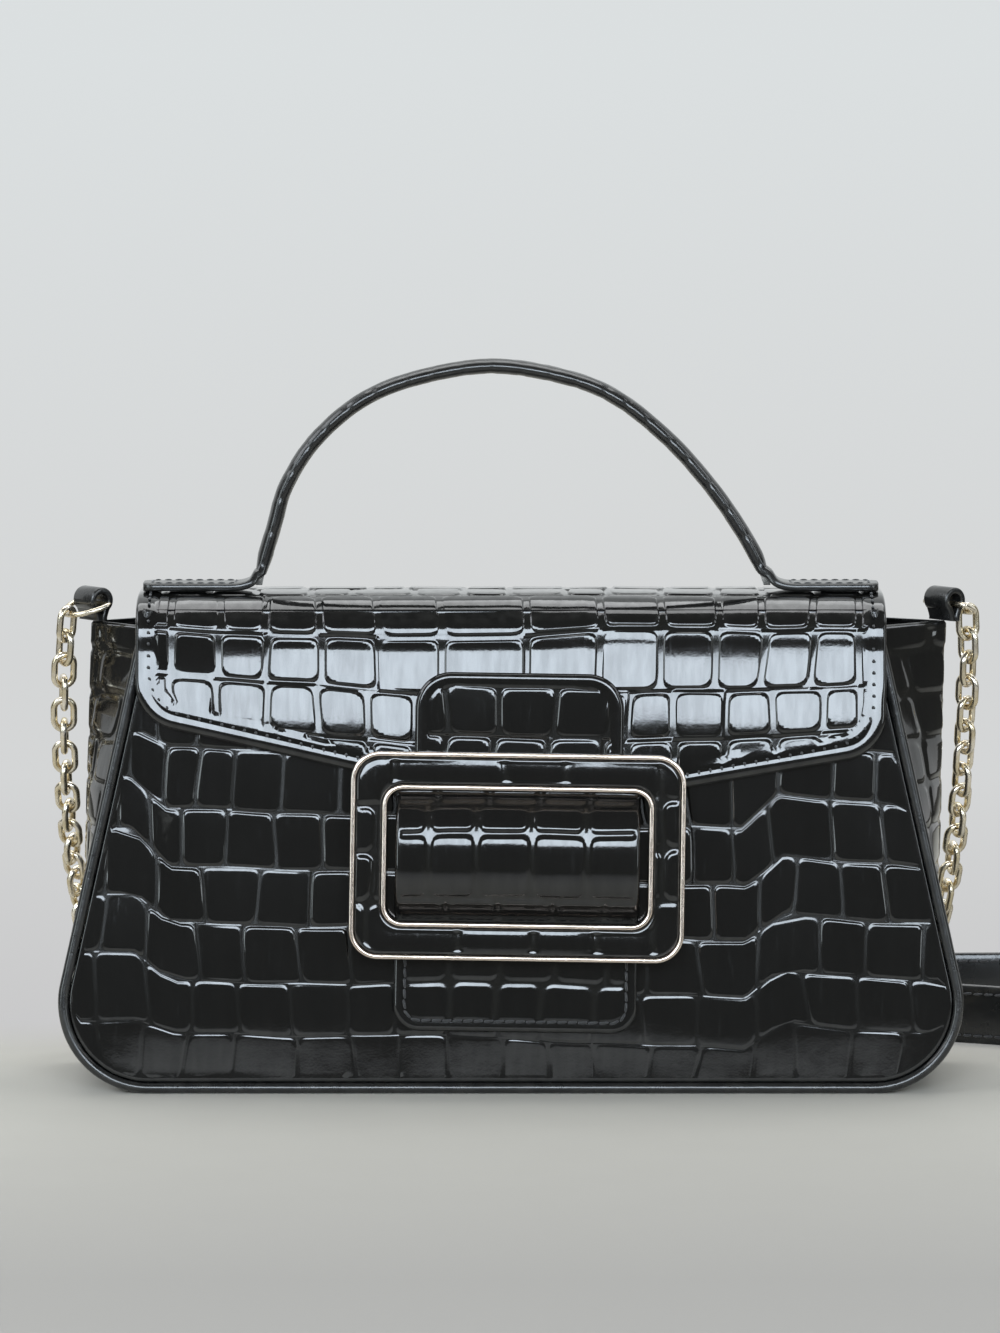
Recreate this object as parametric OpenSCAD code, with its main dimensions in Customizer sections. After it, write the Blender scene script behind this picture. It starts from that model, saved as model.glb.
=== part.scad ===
// Small top handle bag in embossed patent leather. The body has a front and a back
// panel, side gussets that fold outwards, and piped seams. A flap hinged at the back
// edge carries a framed buckle, a tongue that bulges through the buckle's window, and
// an upright strap handle. A shoulder strap of chain and leather lies on the ground
// behind the bag. X runs from left to right, Y from front to back, Z up, and the origin
// is the centre of the flat base. All lengths are in millimetres.

/* [Body] */
// Width of the body at its widest, near the base
body_w = 250; // [230:1:270]
// Width of the front and back panels at their top edge
panel_top_w = 203; // [190:1:215]
// Height of the front and back panels
panel_h = 133; // [125:1:145]
// Depth of the body at the base
base_depth = 60; // [50:1:70]
// Depth of the body at the top edge of the panels
top_depth = 36; // [32:1:44]
// Radius of the bottom corners, seen from the front
corner_r = 25; // [18:1:30]
// Thickness of the panel leather
panel_t = 2; // [1.4:0.1:2.6]
// Diameter of the piping in the front and back seams
piping_d = 3; // [2.4:0.1:3.6]

/* [Side gussets] */
// Thickness of the gusset leather
gusset_t = 2; // [1.4:0.1:2.6]
// Height of the gussets' top edge
gusset_h = 128.5; // [120:0.5:132]
// How far the left gusset's fold stands out past the panels' top corners
crease_left = 16.5; // [12:0.5:20]
// How far the right gusset's fold stands out past the panels' top corners
crease_right = 21; // [12:0.5:23]
// Height at which the gussets' folds have faded out
crease_foot = 47; // [40:1:60]

/* [Inside] */
// Thickness of the stiffener boards in the front and back
stiffener_t = 1; // [0.6:0.1:1.4]
// Thickness of the base board
board_t = 1.5; // [1:0.1:2]
// Thickness of the lining
lining_t = 0.8; // [0.5:0.1:1.2]
// Height of the lining's top edge
lining_h = 126; // [116:1:128]
// Radius of the magnets
magnet_r = 7; // [5:0.5:9]

/* [Flap] */
// How far the flap stands out past the panels' top corners
flap_overhang = 2; // [1:0.5:4]
// Thickness of the flap leather
flap_t = 2; // [1.4:0.1:2.6]
// Thickness of the flap lining
flap_lining_t = 0.8; // [0.5:0.1:1.2]
// Inner bend radius where the flap turns from the top to the front
flap_bend_r = 1.2; // [0.8:0.1:2]
// Drop of the flap's left corner below the panel's top edge
flap_left_drop = 28; // [22:1:34]
// Drop of the flap's right corner below the panel's top edge
flap_right_drop = 37; // [28:1:40]
// Drop of the flap's point below the panel's top edge
flap_tip_drop = 54; // [48:1:58]
// Radius of the flap's lower corners
flap_corner_r = 13; // [8:1:16]

/* [Buckle] */
// Width of the buckle
buckle_w = 92; // [86:1:98]
// Height of the buckle
buckle_h = 57; // [54:1:60]
// Outer corner radius of the buckle
buckle_r = 8; // [5:0.5:10]
// Width of the buckle's window
window_w = 72; // [69:1:76]
// Height of the buckle's window
window_h = 36.4; // [34:0.2:38]
// Corner radius of the window
window_r = 4.5; // [3:0.5:6]
// Thickness of the buckle's backing frame
frame_t = 4; // [3:0.5:5]
// Thickness of the leather inlay on the frame
inlay_t = 0.9; // [0.6:0.1:1.2]
// Width of the two metal rims
rim_w = 1.3; // [1:0.1:1.8]
// Drop of the buckle's centre below the panel's top edge
buckle_drop = 68; // [66:1:70]
// Turn of the buckle, right side down, in degrees
buckle_turn = 0.9; // [0:0.1:1.5]

/* [Tongue and tab] */
// Clearance of the tongue at each side of the window
tongue_side_gap = 2.5; // [2:0.1:6]
// Thickness of the tongue leather
tongue_t = 1.4; // [1:0.1:1.5]
// Distance of the tongue's lower end below the buckle's centre
tongue_drop = 48.5; // [44:0.5:56]
// How far the tongue's roll stands out from its flat part
roll_rise = 7.2; // [5:0.2:8]
// Height of the tongue's roll in the window
roll_h = 34; // [32:0.5:35]
// Width of the tab above the buckle
tab_w = 57.5; // [50:0.5:64]
// Distance of the tab's upper end above the buckle's centre
tab_rise = 50.5; // [46:0.5:54]

/* [Handle] */
// Distance between the handle's feet
handle_span = 142; // [130:1:160]
// Height of the handle above the flap
handle_rise = 64.7; // [55:0.5:80]
// Width of the rolled handle, front to back
handle_w = 8; // [6:0.2:10]
// Thickness of the rolled handle, seen from the front
handle_t = 4.4; // [3.6:0.1:5.4]
// Thickness of the handle's leather
handle_leather_t = 1.1; // [0.8:0.1:1.4]

/* [Shoulder strap] */
// Width of the leather strap
strap_w = 17; // [14:0.5:20]
// Thickness of the leather strap
strap_t = 3; // [2.4:0.1:3.4]
// Outer length of a chain link
link_l = 11; // [10.8:0.1:11.4]
// Outer width of a chain link
link_w = 7.4; // [7:0.1:8]
// Diameter of the link wire
link_d = 1.9; // [1.6:0.1:2]
// Inner radius of the D rings' bow, to the wire's centre
d_ring_r = 8.5; // [8.1:0.1:8.8]
// Diameter of the ring wire
ring_d = 1.5; // [1.2:0.1:1.7]

/* [Hidden] */

// Facets of true round shapes, and steps of a rounded corner
round_fn = 48;
arc_steps = 6;
// Overrun of every cut
cut = 1;
// Gap between pieces that are sewn or glued together
seam_gap = 0.15;
// Gap between pieces of which one moves
free_gap = 0.4;

leather_black = [0.10, 0.10, 0.10];
lining_black = [0.16, 0.15, 0.15];
board_grey = [0.45, 0.43, 0.40];
metal_gold = [0.86, 0.77, 0.66];
magnet_grey = [0.60, 0.60, 0.62];

// Body outline, seen from the front
piping_r = piping_d / 2;
piping_sides = 16;
tilt = atan((base_depth - top_depth) / 2 / panel_h);
lift = piping_r * (1 + sin(tilt) - cos(tilt));
panel_v = panel_h / cos(tilt);
corner_x = body_w / 2 - corner_r;
top_reach = [panel_top_w / 2 - corner_x, panel_v - corner_r];
side_angle = atan2(top_reach.y, top_reach.x) - acos(corner_r / norm(top_reach));
panel_inset = piping_d + seam_gap;

// Unit vector
function unit(v) = v / norm(v);
// Directions along a line of points
function tangents(p) =
  let (n = len(p))
  [for (i = [0:n - 1]) unit(p[min(i + 1, n - 1)] - p[max(i - 1, 0)])];
// The arc that rounds corner b between a and c
function turn_between(from, to) = (to - from + 540) % 360 - 180;
function corner_arc(a, b, c, r) =
  r == 0 ? [b] :
  let (
    u = unit(a - b),
    w = unit(c - b),
    half = acos(u * w) / 2,
    m = b + unit(u + w) * r / sin(half),
    p = b + u * r / tan(half) - m,
    q = b + w * r / tan(half) - m,
    start = atan2(p.y, p.x),
    turn = turn_between(start, atan2(q.y, q.x))
  )
  [for (i = [0:arc_steps]) m + r * [cos(start + turn * i / arc_steps), sin(start + turn * i / arc_steps)]];
// Outline through corners given as [x, y, radius]
function rounded(corners) =
  let (n = len(corners), xy = [for (c = corners) [c.x, c.y]])
  [for (i = [0:n - 1]) each corner_arc(xy[(i + n - 1) % n], xy[i], xy[(i + 1) % n], corners[i][2])];
function box_corners(w, h, r) = [[-w / 2, -h / 2, r], [w / 2, -h / 2, r], [w / 2, h / 2, r], [-w / 2, h / 2, r]];

// Half width of the body's straight side at a height, and points of its bottom corner
function side_x(inset, v) =
  corner_x + (corner_r - inset) * cos(side_angle)
  - (v - corner_r - (corner_r - inset) * sin(side_angle)) * tan(side_angle);
function corner_point(inset, a) =
  [corner_x + (corner_r - inset) * cos(a), corner_r + (corner_r - inset) * sin(a)];
function corner_angles(n) = [for (i = [0:n]) side_angle - (90 + side_angle) * i / n];
function body_outline(inset, top) =
  let (
    right = [[side_x(inset, top), top], for (a = corner_angles(10)) corner_point(inset, a)],
    n = len(right)
  )
  concat(right, [for (i = [n - 1:-1:0]) [-right[i].x, right[i].y]]);

// The gussets' folds at their top, and how far each stands out from the body's side at a height
function crease_x(side) = panel_top_w / 2 + (side < 0 ? crease_left : crease_right);
function fin(side, v) =
  (crease_x(side) - side_x(0, gusset_h)) * max(0, (v - crease_foot) / (gusset_h - crease_foot));
function depth_y(v, inset) = base_depth / 2 - v * tan(tilt) - inset / cos(tilt);

// The front panel's plane: x across, v up along it, w outwards from its outer face
module front_frame() {
  translate([0, -base_depth / 2, lift]) rotate([-tilt, 0, 0]) children();
}
module back_frame() {
  mirror([0, 1, 0]) front_frame() children();
}
// A flat plate between two distances w, from an outline in x and v
module plate(w0, w1) {
  translate([0, -w0, 0]) rotate([90, 0, 0]) linear_extrude(w1 - w0) children();
}
// A side profile in y and z, made wide along x
module across(width) {
  rotate([90, 0, 90]) linear_extrude(width, center = true) children();
}
// Caps of a ring of six points that folds along its second and fifth point
split_cap = [[0, 1, 4, 5], [1, 2, 3, 4]];
// A closed skin over rings of equally many points; each cap is a list of faces
module skin(rings, cap) {
  n = len(rings[0]);
  last = (len(rings) - 1) * n;
  polyhedron(
    points = [for (r = rings) each r],
    faces = concat(
      [
        for (i = [0:len(rings) - 2]) for (j = [0:n - 1]) each [
          [i * n + j, i * n + (j + 1) % n, (i + 1) * n + (j + 1) % n],
          [i * n + j, (i + 1) * n + (j + 1) % n, (i + 1) * n + j]
        ]
      ],
      [for (f = cap) [for (k = [len(f) - 1:-1:0]) f[k]]],
      [for (f = cap) [for (k = f) k + last]]
    )
  );
}

// Panels, stiffeners and piping
magnet_below_buckle = 38;
magnet_v = panel_v - buckle_drop - magnet_below_buckle;
stiffener_inset = 7;
stiffener_in = panel_t + seam_gap;

module panel_sheet() {
  plate(-panel_t, 0) polygon(body_outline(panel_inset, panel_v));
}
module stiffener_sheet() {
  plate(-stiffener_in - stiffener_t, -stiffener_in)
    polygon(body_outline(stiffener_inset, panel_v - stiffener_inset));
}
module piping() {
  line = body_outline(piping_r, panel_v);
  along = tangents(line);
  skin([
    for (i = [0:len(line) - 1])
      let (p = line[i], t = along[i])
      [
        for (k = [0:piping_sides - 1])
          let (a = (k + 1 / 2) * 360 / piping_sides, out = p + piping_r * cos(a) * [-t.y, t.x])
          [out.x, piping_r + piping_r * sin(a), out.y]
      ]
  ], [[for (k = [0:piping_sides - 1]) k]]);
}

module front_panel() color(leather_black) front_frame() panel_sheet();
module back_panel() color(leather_black) back_frame() panel_sheet();
module front_piping() color(leather_black) front_frame() piping();
module back_piping() color(leather_black) back_frame() piping();
module front_stiffener() color(board_grey) front_frame() difference() {
  stiffener_sheet();
  translate([buckle_x, 0, magnet_v]) plate(-stiffener_in - stiffener_t - cut, -stiffener_in + seam_gap)
    circle(r = magnet_r + seam_gap, $fn = round_fn);
}
module back_stiffener() color(board_grey) back_frame() stiffener_sheet();
module front_magnet() color(magnet_grey) front_frame() translate([buckle_x, 0, magnet_v])
  plate(-stiffener_in - stiffener_t, -stiffener_in) circle(r = magnet_r, $fn = round_fn);

// Gussets: a strip of leather with an outward crease that fades towards the base
gusset_side_steps = 7;
gusset_corner_steps = 8;
tangent_v = corner_point(0, side_angle).y;

function gusset_ring(out, in, f) =
  let (y = depth_y(out.y, panel_inset))
  [
    [out.x, -y, out.y], [out.x + f, 0, out.y], [out.x, y, out.y],
    [in.x, y, in.y], [in.x + f, 0, in.y], [in.x, -y, in.y]
  ];
gusset_heights = [
  for (i = [0:gusset_side_steps - 1]) gusset_h + (tangent_v - gusset_h) * i / gusset_side_steps
];
function gusset_rings(side) = concat(
  [for (v = gusset_heights) gusset_ring([side_x(0, v), v], [side_x(gusset_t, v), v], fin(side, v))],
  [for (a = corner_angles(gusset_corner_steps)) gusset_ring(corner_point(0, a), corner_point(gusset_t, a), 0)]
);

module gusset_right() color(leather_black) skin(gusset_rings(1), split_cap);
module gusset_left() color(leather_black) mirror([1, 0, 0]) skin(gusset_rings(-1), split_cap);
module gusset_base() color(leather_black)
  translate([-corner_x + seam_gap, -depth_y(0, panel_inset), 0])
    cube([2 * (corner_x - seam_gap), 2 * depth_y(0, panel_inset), gusset_t]);

// Base board and lining
board_margin = 2;
board_z = gusset_t + seam_gap;
lining_z = board_z + board_t + seam_gap;
lining_in = stiffener_in + stiffener_t + free_gap;
lining_steps = 6;

module base_board() color(board_grey)
  translate([-corner_x + board_margin, -depth_y(board_z, lining_in + board_margin), board_z])
    cube([2 * (corner_x - board_margin), 2 * depth_y(board_z, lining_in + board_margin), board_t]);

function lining_ring(x, v, fin_v, wall) =
  let (y = depth_y(v, lining_in) - wall)
  [[-x, -y, v], [-x - fin(-1, fin_v), 0, v], [-x, y, v], [x, y, v], [x + fin(1, fin_v), 0, v], [x, -y, v]];
function lining_rings(wall, top) = concat(
  [
    for (a = corner_angles(lining_steps)) let (p = corner_point(lining_z + wall, -90 + side_angle - a))
    lining_ring(p.x, p.y, 0, wall)
  ],
  [
    for (i = [1:lining_steps]) let (v = tangent_v + (lining_h - tangent_v) * i / lining_steps)
    lining_ring(side_x(lining_z + wall, v), v, v, wall)
  ],
  top == 0 ? [] : [lining_ring(side_x(lining_z + wall, lining_h), lining_h + top, lining_h, wall)]
);

module lining() color(lining_black) difference() {
  skin(lining_rings(0, 0), split_cap);
  skin(lining_rings(lining_t, cut), split_cap);
}

// Leather loops that stand on the gussets' crease and hold the D rings
loop_w = 10;
loop_leather_t = 1.7;
loop_hole_r = 1.9;
loop_rise = 9.5;
loop_turn = 35;
loop_r = loop_hole_r + loop_leather_t;
loop_z = gusset_h + loop_rise - loop_r;
loop_in = 1.8;
function loop_x(side) = side * (crease_x(side) - loop_in);

module ring_loop(side) color(leather_black)
  translate([loop_x(side), 0, loop_z]) rotate([0, 0, loop_turn]) rotate([90, 0, 0])
    linear_extrude(loop_w, center = true) difference() {
      union() {
        circle(r = loop_r, $fn = round_fn);
        translate([-loop_leather_t, gusset_h + seam_gap - loop_z])
          square([2 * loop_leather_t, loop_z - gusset_h - seam_gap]);
      }
      circle(r = loop_hole_r, $fn = round_fn);
    }
module ring_loop_left() ring_loop(-1);
module ring_loop_right() ring_loop(1);

// Flap: layers round a bend centre, from the hinge at the back to the drop in front
flap_under_z = panel_h + lift + 2 * free_gap;
bend_z = flap_under_z - flap_bend_r;
bend_w = free_gap - flap_bend_r;
bend_v = (bend_z - lift - bend_w * sin(tilt)) / cos(tilt);
bend_y = -base_depth / 2 - bend_w * cos(tilt) + bend_v * sin(tilt);
lining_outer_r = flap_bend_r + flap_lining_t;
leather_inner_r = lining_outer_r + seam_gap;
leather_outer_r = leather_inner_r + flap_t;
flap_top_z = bend_z + leather_outer_r;
flap_w_out = leather_outer_r - flap_bend_r + free_gap;
flap_w = panel_top_w + 2 * flap_overhang;
back_strip_t = 1.6;
back_strip_h = 26;
back_strip_margin = 4;
hinge_z = bend_z + leather_inner_r + flap_t / 2;
hinge_y = top_depth / 2 + seam_gap + back_strip_t / 2;
flap_tip_x = 8;
flap_lining_margin = 1.5;
lining_back_margin = 4.8;
lining_back_y = hinge_y - lining_back_margin;
flap_hinge_end = [
  for (i = [0:2 * arc_steps]) let (a = -90 + 180 * i / (2 * arc_steps))
  [hinge_y, hinge_z] + flap_t / 2 * [cos(a), sin(a)]
];

module flap_layer(r1, r2, back_end) {
  n = arc_steps;
  angles = [for (i = [0:n]) 90 + (90 - tilt) * i / n];
  down = -panel_v * [sin(tilt), cos(tilt)];
  centre = [bend_y, bend_z];
  out = [for (a = angles) centre + r2 * [cos(a), sin(a)]];
  in = [for (i = [n:-1:0]) centre + r1 * [cos(angles[i]), sin(angles[i])]];
  across(flap_w) polygon(concat(
    back_end, out, [out[n] + down, in[0] + down], in
  ));
}
// The flap's lower edge runs from each corner to a point behind the buckle
module flap_outline(inset) {
  x = flap_w / 2 - inset;
  top = panel_v + flap_w / 2;
  polygon(rounded([
    [-x, top, 0],
    [-x, panel_v - flap_left_drop + inset, flap_corner_r],
    [flap_tip_x, panel_v - flap_tip_drop + inset, flap_corner_r],
    [x, panel_v - flap_right_drop + inset, flap_corner_r],
    [x, top, 0]
  ]));
}

module flap_panel() color(leather_black) intersection() {
    flap_layer(leather_inner_r, leather_outer_r, flap_hinge_end);
    front_frame() plate(-base_depth, base_depth) flap_outline(0);
}
module flap_lining() color(lining_black) intersection() {
  flap_layer(flap_bend_r, lining_outer_r, [[lining_back_y, bend_z + flap_bend_r], [lining_back_y, bend_z + lining_outer_r]]);
  front_frame() plate(-base_depth, base_depth) flap_outline(flap_lining_margin);
}
module flap_back_strip() color(leather_black) back_frame() {
  top = (hinge_z - flap_t / 2 - free_gap - lift) / cos(tilt);
  x = flap_w / 2 - back_strip_margin;
  plate(seam_gap, seam_gap + back_strip_t) polygon(rounded([
    [-x, top, 0], [-x, top - back_strip_h, back_strip_margin],
    [x, top - back_strip_h, back_strip_margin], [x, top, 0]
  ]));
}

// Layers on the flap's front: tab and tongue, then the buckle
buckle_x = 1.8;
buckle_v = panel_v - buckle_drop;
tab_w0 = flap_w_out + seam_gap;
tab_w1 = tab_w0 + tongue_t;
frame_w0 = tab_w1 + seam_gap;
frame_w1 = frame_w0 + frame_t;
inlay_w0 = frame_w1 + seam_gap / 2;
inlay_w1 = inlay_w0 + inlay_t;
rim_proud = 0.4;
rim_w1 = inlay_w1 + rim_proud;
tab_corner_r = 10;
tab_end_gap = 2;
tab_low = window_h / 2 + tab_end_gap;
tongue_corner_r = 7;
tongue_w = window_w - 2 * tongue_side_gap;

module at_buckle() {
  front_frame() translate([buckle_x, 0, buckle_v]) rotate([0, buckle_turn, 0]) children();
}
module frame_ring(w, h, r, band) {
  difference() {
    polygon(rounded(box_corners(w, h, r)));
    polygon(rounded(box_corners(w - 2 * band, h - 2 * band, r - band)));
  }
}
rim_gap = rim_w + seam_gap / 2;
module between_rims() {
  difference() {
    polygon(rounded(box_corners(buckle_w - 2 * rim_gap, buckle_h - 2 * rim_gap, buckle_r - rim_gap)));
    polygon(rounded(box_corners(window_w + 2 * rim_gap, window_h + 2 * rim_gap, window_r + rim_gap)));
  }
}

module buckle_frame() color(leather_black) at_buckle() plate(frame_w0, frame_w1) between_rims();
module buckle_inlay() color(leather_black) at_buckle() plate(inlay_w0, inlay_w1) between_rims();
module buckle_outer_rim() color(metal_gold) at_buckle() plate(frame_w0, rim_w1)
  frame_ring(buckle_w, buckle_h, buckle_r, rim_w);
module buckle_inner_rim() color(metal_gold) at_buckle() plate(frame_w0, rim_w1)
  frame_ring(window_w + 2 * rim_w, window_h + 2 * rim_w, window_r + rim_w, rim_w);
module buckle_tab() color(leather_black) at_buckle() plate(tab_w0, tab_w1) polygon(rounded([
  [-tab_w / 2, tab_low, 0], [tab_w / 2, tab_low, 0],
  [tab_w / 2, tab_rise, tab_corner_r], [-tab_w / 2, tab_rise, tab_corner_r]
]));

// The tongue: a roll in the window, a step behind the lower bar, and a flat lower end
roll_r = (pow(roll_h / 2, 2) + pow(roll_rise, 2)) / 2 / roll_rise;
roll_w = tab_w1 + roll_rise - roll_r;
roll_angle = asin(roll_h / 2 / roll_r);
roll_steps = 14;
tongue_lining_t = 0.8;
tongue_w0 = free_gap + tongue_lining_t + seam_gap;
tongue_w1 = tongue_w0 + tongue_t;
tongue_step_v = window_h / 2 + tongue_t;
roll_inner_angle = acos((tab_w0 - roll_w) / (roll_r - tongue_t));

function roll_arc(r, half) = [
  for (i = [0:roll_steps]) let (a = half * (1 - 2 * i / roll_steps)) [roll_w + r * cos(a), r * sin(a)]
];
module tongue_profile() {
  polygon(concat(
    [[tab_w1, tab_low - seam_gap]],
    roll_arc(roll_r, roll_angle),
    [
      [tongue_w1, -tongue_step_v], [tongue_w1, -tongue_drop],
      [tongue_w0, -tongue_drop], [tongue_w0, -tongue_step_v]
    ],
    [for (p = roll_arc(roll_r - tongue_t, -roll_inner_angle)) p],
    [[tab_w0, tab_low - seam_gap]]
  ));
}
module tongue_outline(inset) {
  x = tongue_w / 2 - inset;
  polygon(rounded([
    [-x, -tongue_drop + inset, tongue_corner_r], [x, -tongue_drop + inset, tongue_corner_r],
    [x, tab_rise, 0], [-x, tab_rise, 0]
  ]));
}
tongue_lining_top = -tongue_step_v - tongue_t;

module tongue() color(leather_black) at_buckle() intersection() {
  mirror([0, 1, 0]) across(tongue_w) tongue_profile();
  plate(0, buckle_h) tongue_outline(0);
}
module tongue_padding() color(board_grey) at_buckle() mirror([0, 1, 0])
  across(tongue_w - 2 * tongue_t) polygon(roll_arc(roll_r - tongue_t - seam_gap, roll_pad_angle));
roll_pad_angle = acos((tab_w0 + seam_gap - roll_w) / (roll_r - tongue_t - seam_gap));
module tongue_lining() color(lining_black) at_buckle() difference() {
  plate(free_gap, free_gap + tongue_lining_t) intersection() {
    tongue_outline(tongue_t);
    translate([-tongue_w, -2 * tongue_drop]) square([2 * tongue_w, 2 * tongue_drop + tongue_lining_top]);
  }
  translate([0, 0, -magnet_below_buckle]) plate(0, tongue_w0)
    circle(r = magnet_r + seam_gap, $fn = round_fn);
}
module tongue_magnet() color(magnet_grey) at_buckle() translate([0, 0, -magnet_below_buckle])
  plate(free_gap, free_gap + tongue_lining_t) circle(r = magnet_r, $fn = round_fn);

// Handle: its centre line as shares of the span, left to right, and of the rise
handle_shares = [
  [0, 0], [0.012, 0.13], [0.034, 0.3], [0.055, 0.46], [0.11, 0.66], [0.2, 0.84], [0.31, 0.945],
  [0.46, 1], [0.61, 0.945], [0.707, 0.85], [0.8, 0.68], [0.867, 0.515], [0.925, 0.34], [0.975, 0.15], [1, 0]
];
handle_foot_z = flap_top_z + free_gap;
handle_axis_z = handle_foot_z + handle_w / 2;
handle_left_x = -70.3;
handle_steps = 2;
handle_sides = 12;

// Smooth curve through points, with its own first and last points as its ends
function spline(p, steps) =
  let (n = len(p))
  [
    for (i = [0:n - 2]) for (j = [0:steps - 1])
      let (
        a = p[max(i - 1, 0)], b = p[i], c = p[i + 1], d = p[min(i + 2, n - 1)], t = j / steps
      )
      b + t * (c - a) / 2 + t * t * (2 * a - 5 * b + 4 * c - d) / 2 + t * t * t * (3 * b - a - 3 * c + d) / 2,
    p[n - 1]
  ];

handle_line_rise = handle_rise - free_gap - handle_t / 2;
handle_line = spline([
  for (s = handle_shares) [handle_left_x + s.x * handle_span, handle_foot_z + s.y * handle_line_rise]
], handle_steps);
handle_end_dip = [0, -cut];
roll_line = concat([handle_line[0] + handle_end_dip], handle_line, [handle_line[len(handle_line) - 1] + handle_end_dip]);
roll_tangents = tangents(roll_line);

// An oval roll along the handle's line, this much thinner than the handle all round
module handle_roll(inset) {
  skin([
    for (i = [0:len(roll_line) - 1])
      let (p = roll_line[i], t = roll_tangents[i])
      [
        for (k = [0:handle_sides - 1])
          let (
            a = (k + 1 / 2) * 360 / handle_sides,
            out = p + (handle_t / 2 - inset) * cos(a) * [-t.y, t.x]
          )
          [out.x, (handle_w / 2 - inset) * sin(a), out.y]
      ]
  ], [[for (k = [0:handle_sides - 1]) k]]);
}
// Space above the flap in which the handle's feet can turn about their axis
module handle_turning_space(inset) {
  x = handle_span;
  translate([-x, -handle_w, handle_axis_z]) cube([2 * x, 2 * handle_w, 2 * handle_rise]);
  translate([-x, 0, handle_axis_z]) rotate([0, 90, 0])
    cylinder(r = handle_w / 2 - inset, h = 2 * x, $fn = round_fn);
}
module handle() color(leather_black) difference() {
  intersection() {
    handle_roll(0);
    handle_turning_space(0);
  }
  handle_roll(handle_leather_t);
}
module handle_core() color(board_grey) intersection() {
  handle_roll(handle_leather_t + seam_gap);
  handle_turning_space(handle_leather_t);
}

// The handle's flat ends, sewn along the flap's top
handle_end_margin = 1.5;
handle_end_r = 3;
handle_end_t = 2.4;
handle_end_w = 14;
module handle_end(from_x, to_x) color(leather_black)
  translate([(from_x + to_x) / 2, 0, flap_top_z + seam_gap]) linear_extrude(handle_end_t)
    polygon(rounded(box_corners(to_x - from_x, handle_end_w, handle_end_r)));
module handle_end_left()
  handle_end(-flap_w / 2 + handle_end_margin, handle_left_x - handle_t / 2 - 2 * free_gap);
module handle_end_right()
  handle_end(handle_left_x + handle_span + handle_t / 2 + 2 * free_gap, flap_w / 2 - handle_end_margin);

// D rings: a bar through the leather loop and a bow that hangs outwards
d_ring_drop_angle = 20;
ring_r = ring_d / 2;
d_ring_z = loop_z - loop_hole_r + ring_r + seam_gap;
module d_ring(side) color(metal_gold)
  translate([loop_x(side), 0, d_ring_z]) rotate([0, 0, loop_turn])
    rotate([0, side * d_ring_drop_angle, 0]) rotate([0, 0, -side * 90]) {
      rotate_extrude(angle = 180, $fn = round_fn) translate([d_ring_r, 0]) circle(r = ring_r, $fn = round_fn / 2);
      rotate([0, 90, 0]) cylinder(r = ring_r, h = 2 * d_ring_r, center = true, $fn = round_fn / 2);
      for (end = [-1, 1]) translate([end * d_ring_r, 0, 0]) sphere(r = ring_r, $fn = round_fn / 2);
    }
module d_ring_left() d_ring(-1);
module d_ring_right() d_ring(1);

// Route of each chain from its D ring to the leather strap, through chosen points
chain_left_points = [
  [-123.3, -4.7, 127.9], [-124.1, -3.2, 118], [-124.6, 0.5, 105], [-124.7, 6, 90], [-124.5, 12.5, 77],
  [-124.2, 21, 65], [-123.6, 30, 54], [-122.4, 38, 43], [-120.3, 44, 31], [-116.8, 50, 20],
  [-111, 56, 10.5], [-103, 62, 5.5], [-94, 68, 4], [-84, 73.5, 4], [-74, 78.5, 5], [-66, 82, 7], [-56.7, 85.5, 8.5]
];
chain_right_points = [
  [127.5, 4.85, 127.75], [127.8, 5.6, 118], [127.6, 8, 105], [127.2, 12, 90], [126.6, 17, 77],
  [125.8, 23, 65], [124.8, 29.5, 54], [123, 34.5, 43], [119.8, 37.5, 31], [115, 38.8, 20],
  [107.5, 39, 11], [99, 39, 6], [89, 40, 4], [78, 43.5, 4], [69.5, 51.6, 4], [66.4, 61, 4], [70.5, 70.5, 4],
  [80, 75.4, 6], [90.2, 74.9, 8.5]
];
// Route of the leather strap, standing on its edge, at half its width above the ground
strap_points = [
  [-49, 88.5], [-30, 96], [-5, 105], [25, 114], [60, 121], [100, 126.5], [140, 129.5], [175, 130],
  [205, 126.5], [228, 117], [238.5, 99], [238, 78], [226, 62], [205, 54], [178, 52], [150, 56], [124, 66.5], [98, 73]
];
strap_z = strap_w / 2;
strap_steps = 3;
strap_end_share = 0.6;
strap_hole_r = 1.6;
strap_hole_in = 4.5;
strap_ring_r = 5;

link_spacing = link_l - 2 * link_d - free_gap;
link_steps = 8;
chain_left_roll = -16;
chain_right_roll = -62;
link_bow_r = (link_w - link_d) / 2;
link_bar = link_l - link_w;

module link() {
  for (end = [-1, 1]) {
    translate([end * link_bar / 2, 0, 0]) rotate([0, 0, -end * 90])
      rotate_extrude(angle = 180, $fn = round_fn / 2)
        translate([link_bow_r, 0]) circle(r = link_d / 2, $fn = round_fn / 3);
    translate([0, end * link_bow_r, 0]) rotate([0, 90, 0])
      cylinder(r = link_d / 2, h = link_bar, center = true, $fn = round_fn / 3);
  }
}
// Distances along a curve, and the place at one of them
function run_lengths(p, i = 0, sum = 0) =
  i == len(p) ? [] :
  let (next = sum + (i == 0 ? 0 : norm(p[i] - p[i - 1])))
  concat([next], run_lengths(p, i + 1, next));
function place_at(p, runs, s) = [
  for (k = [0:2]) lookup(s, [for (i = [0:len(p) - 1]) [runs[i], p[i][k]]])
];

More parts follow.
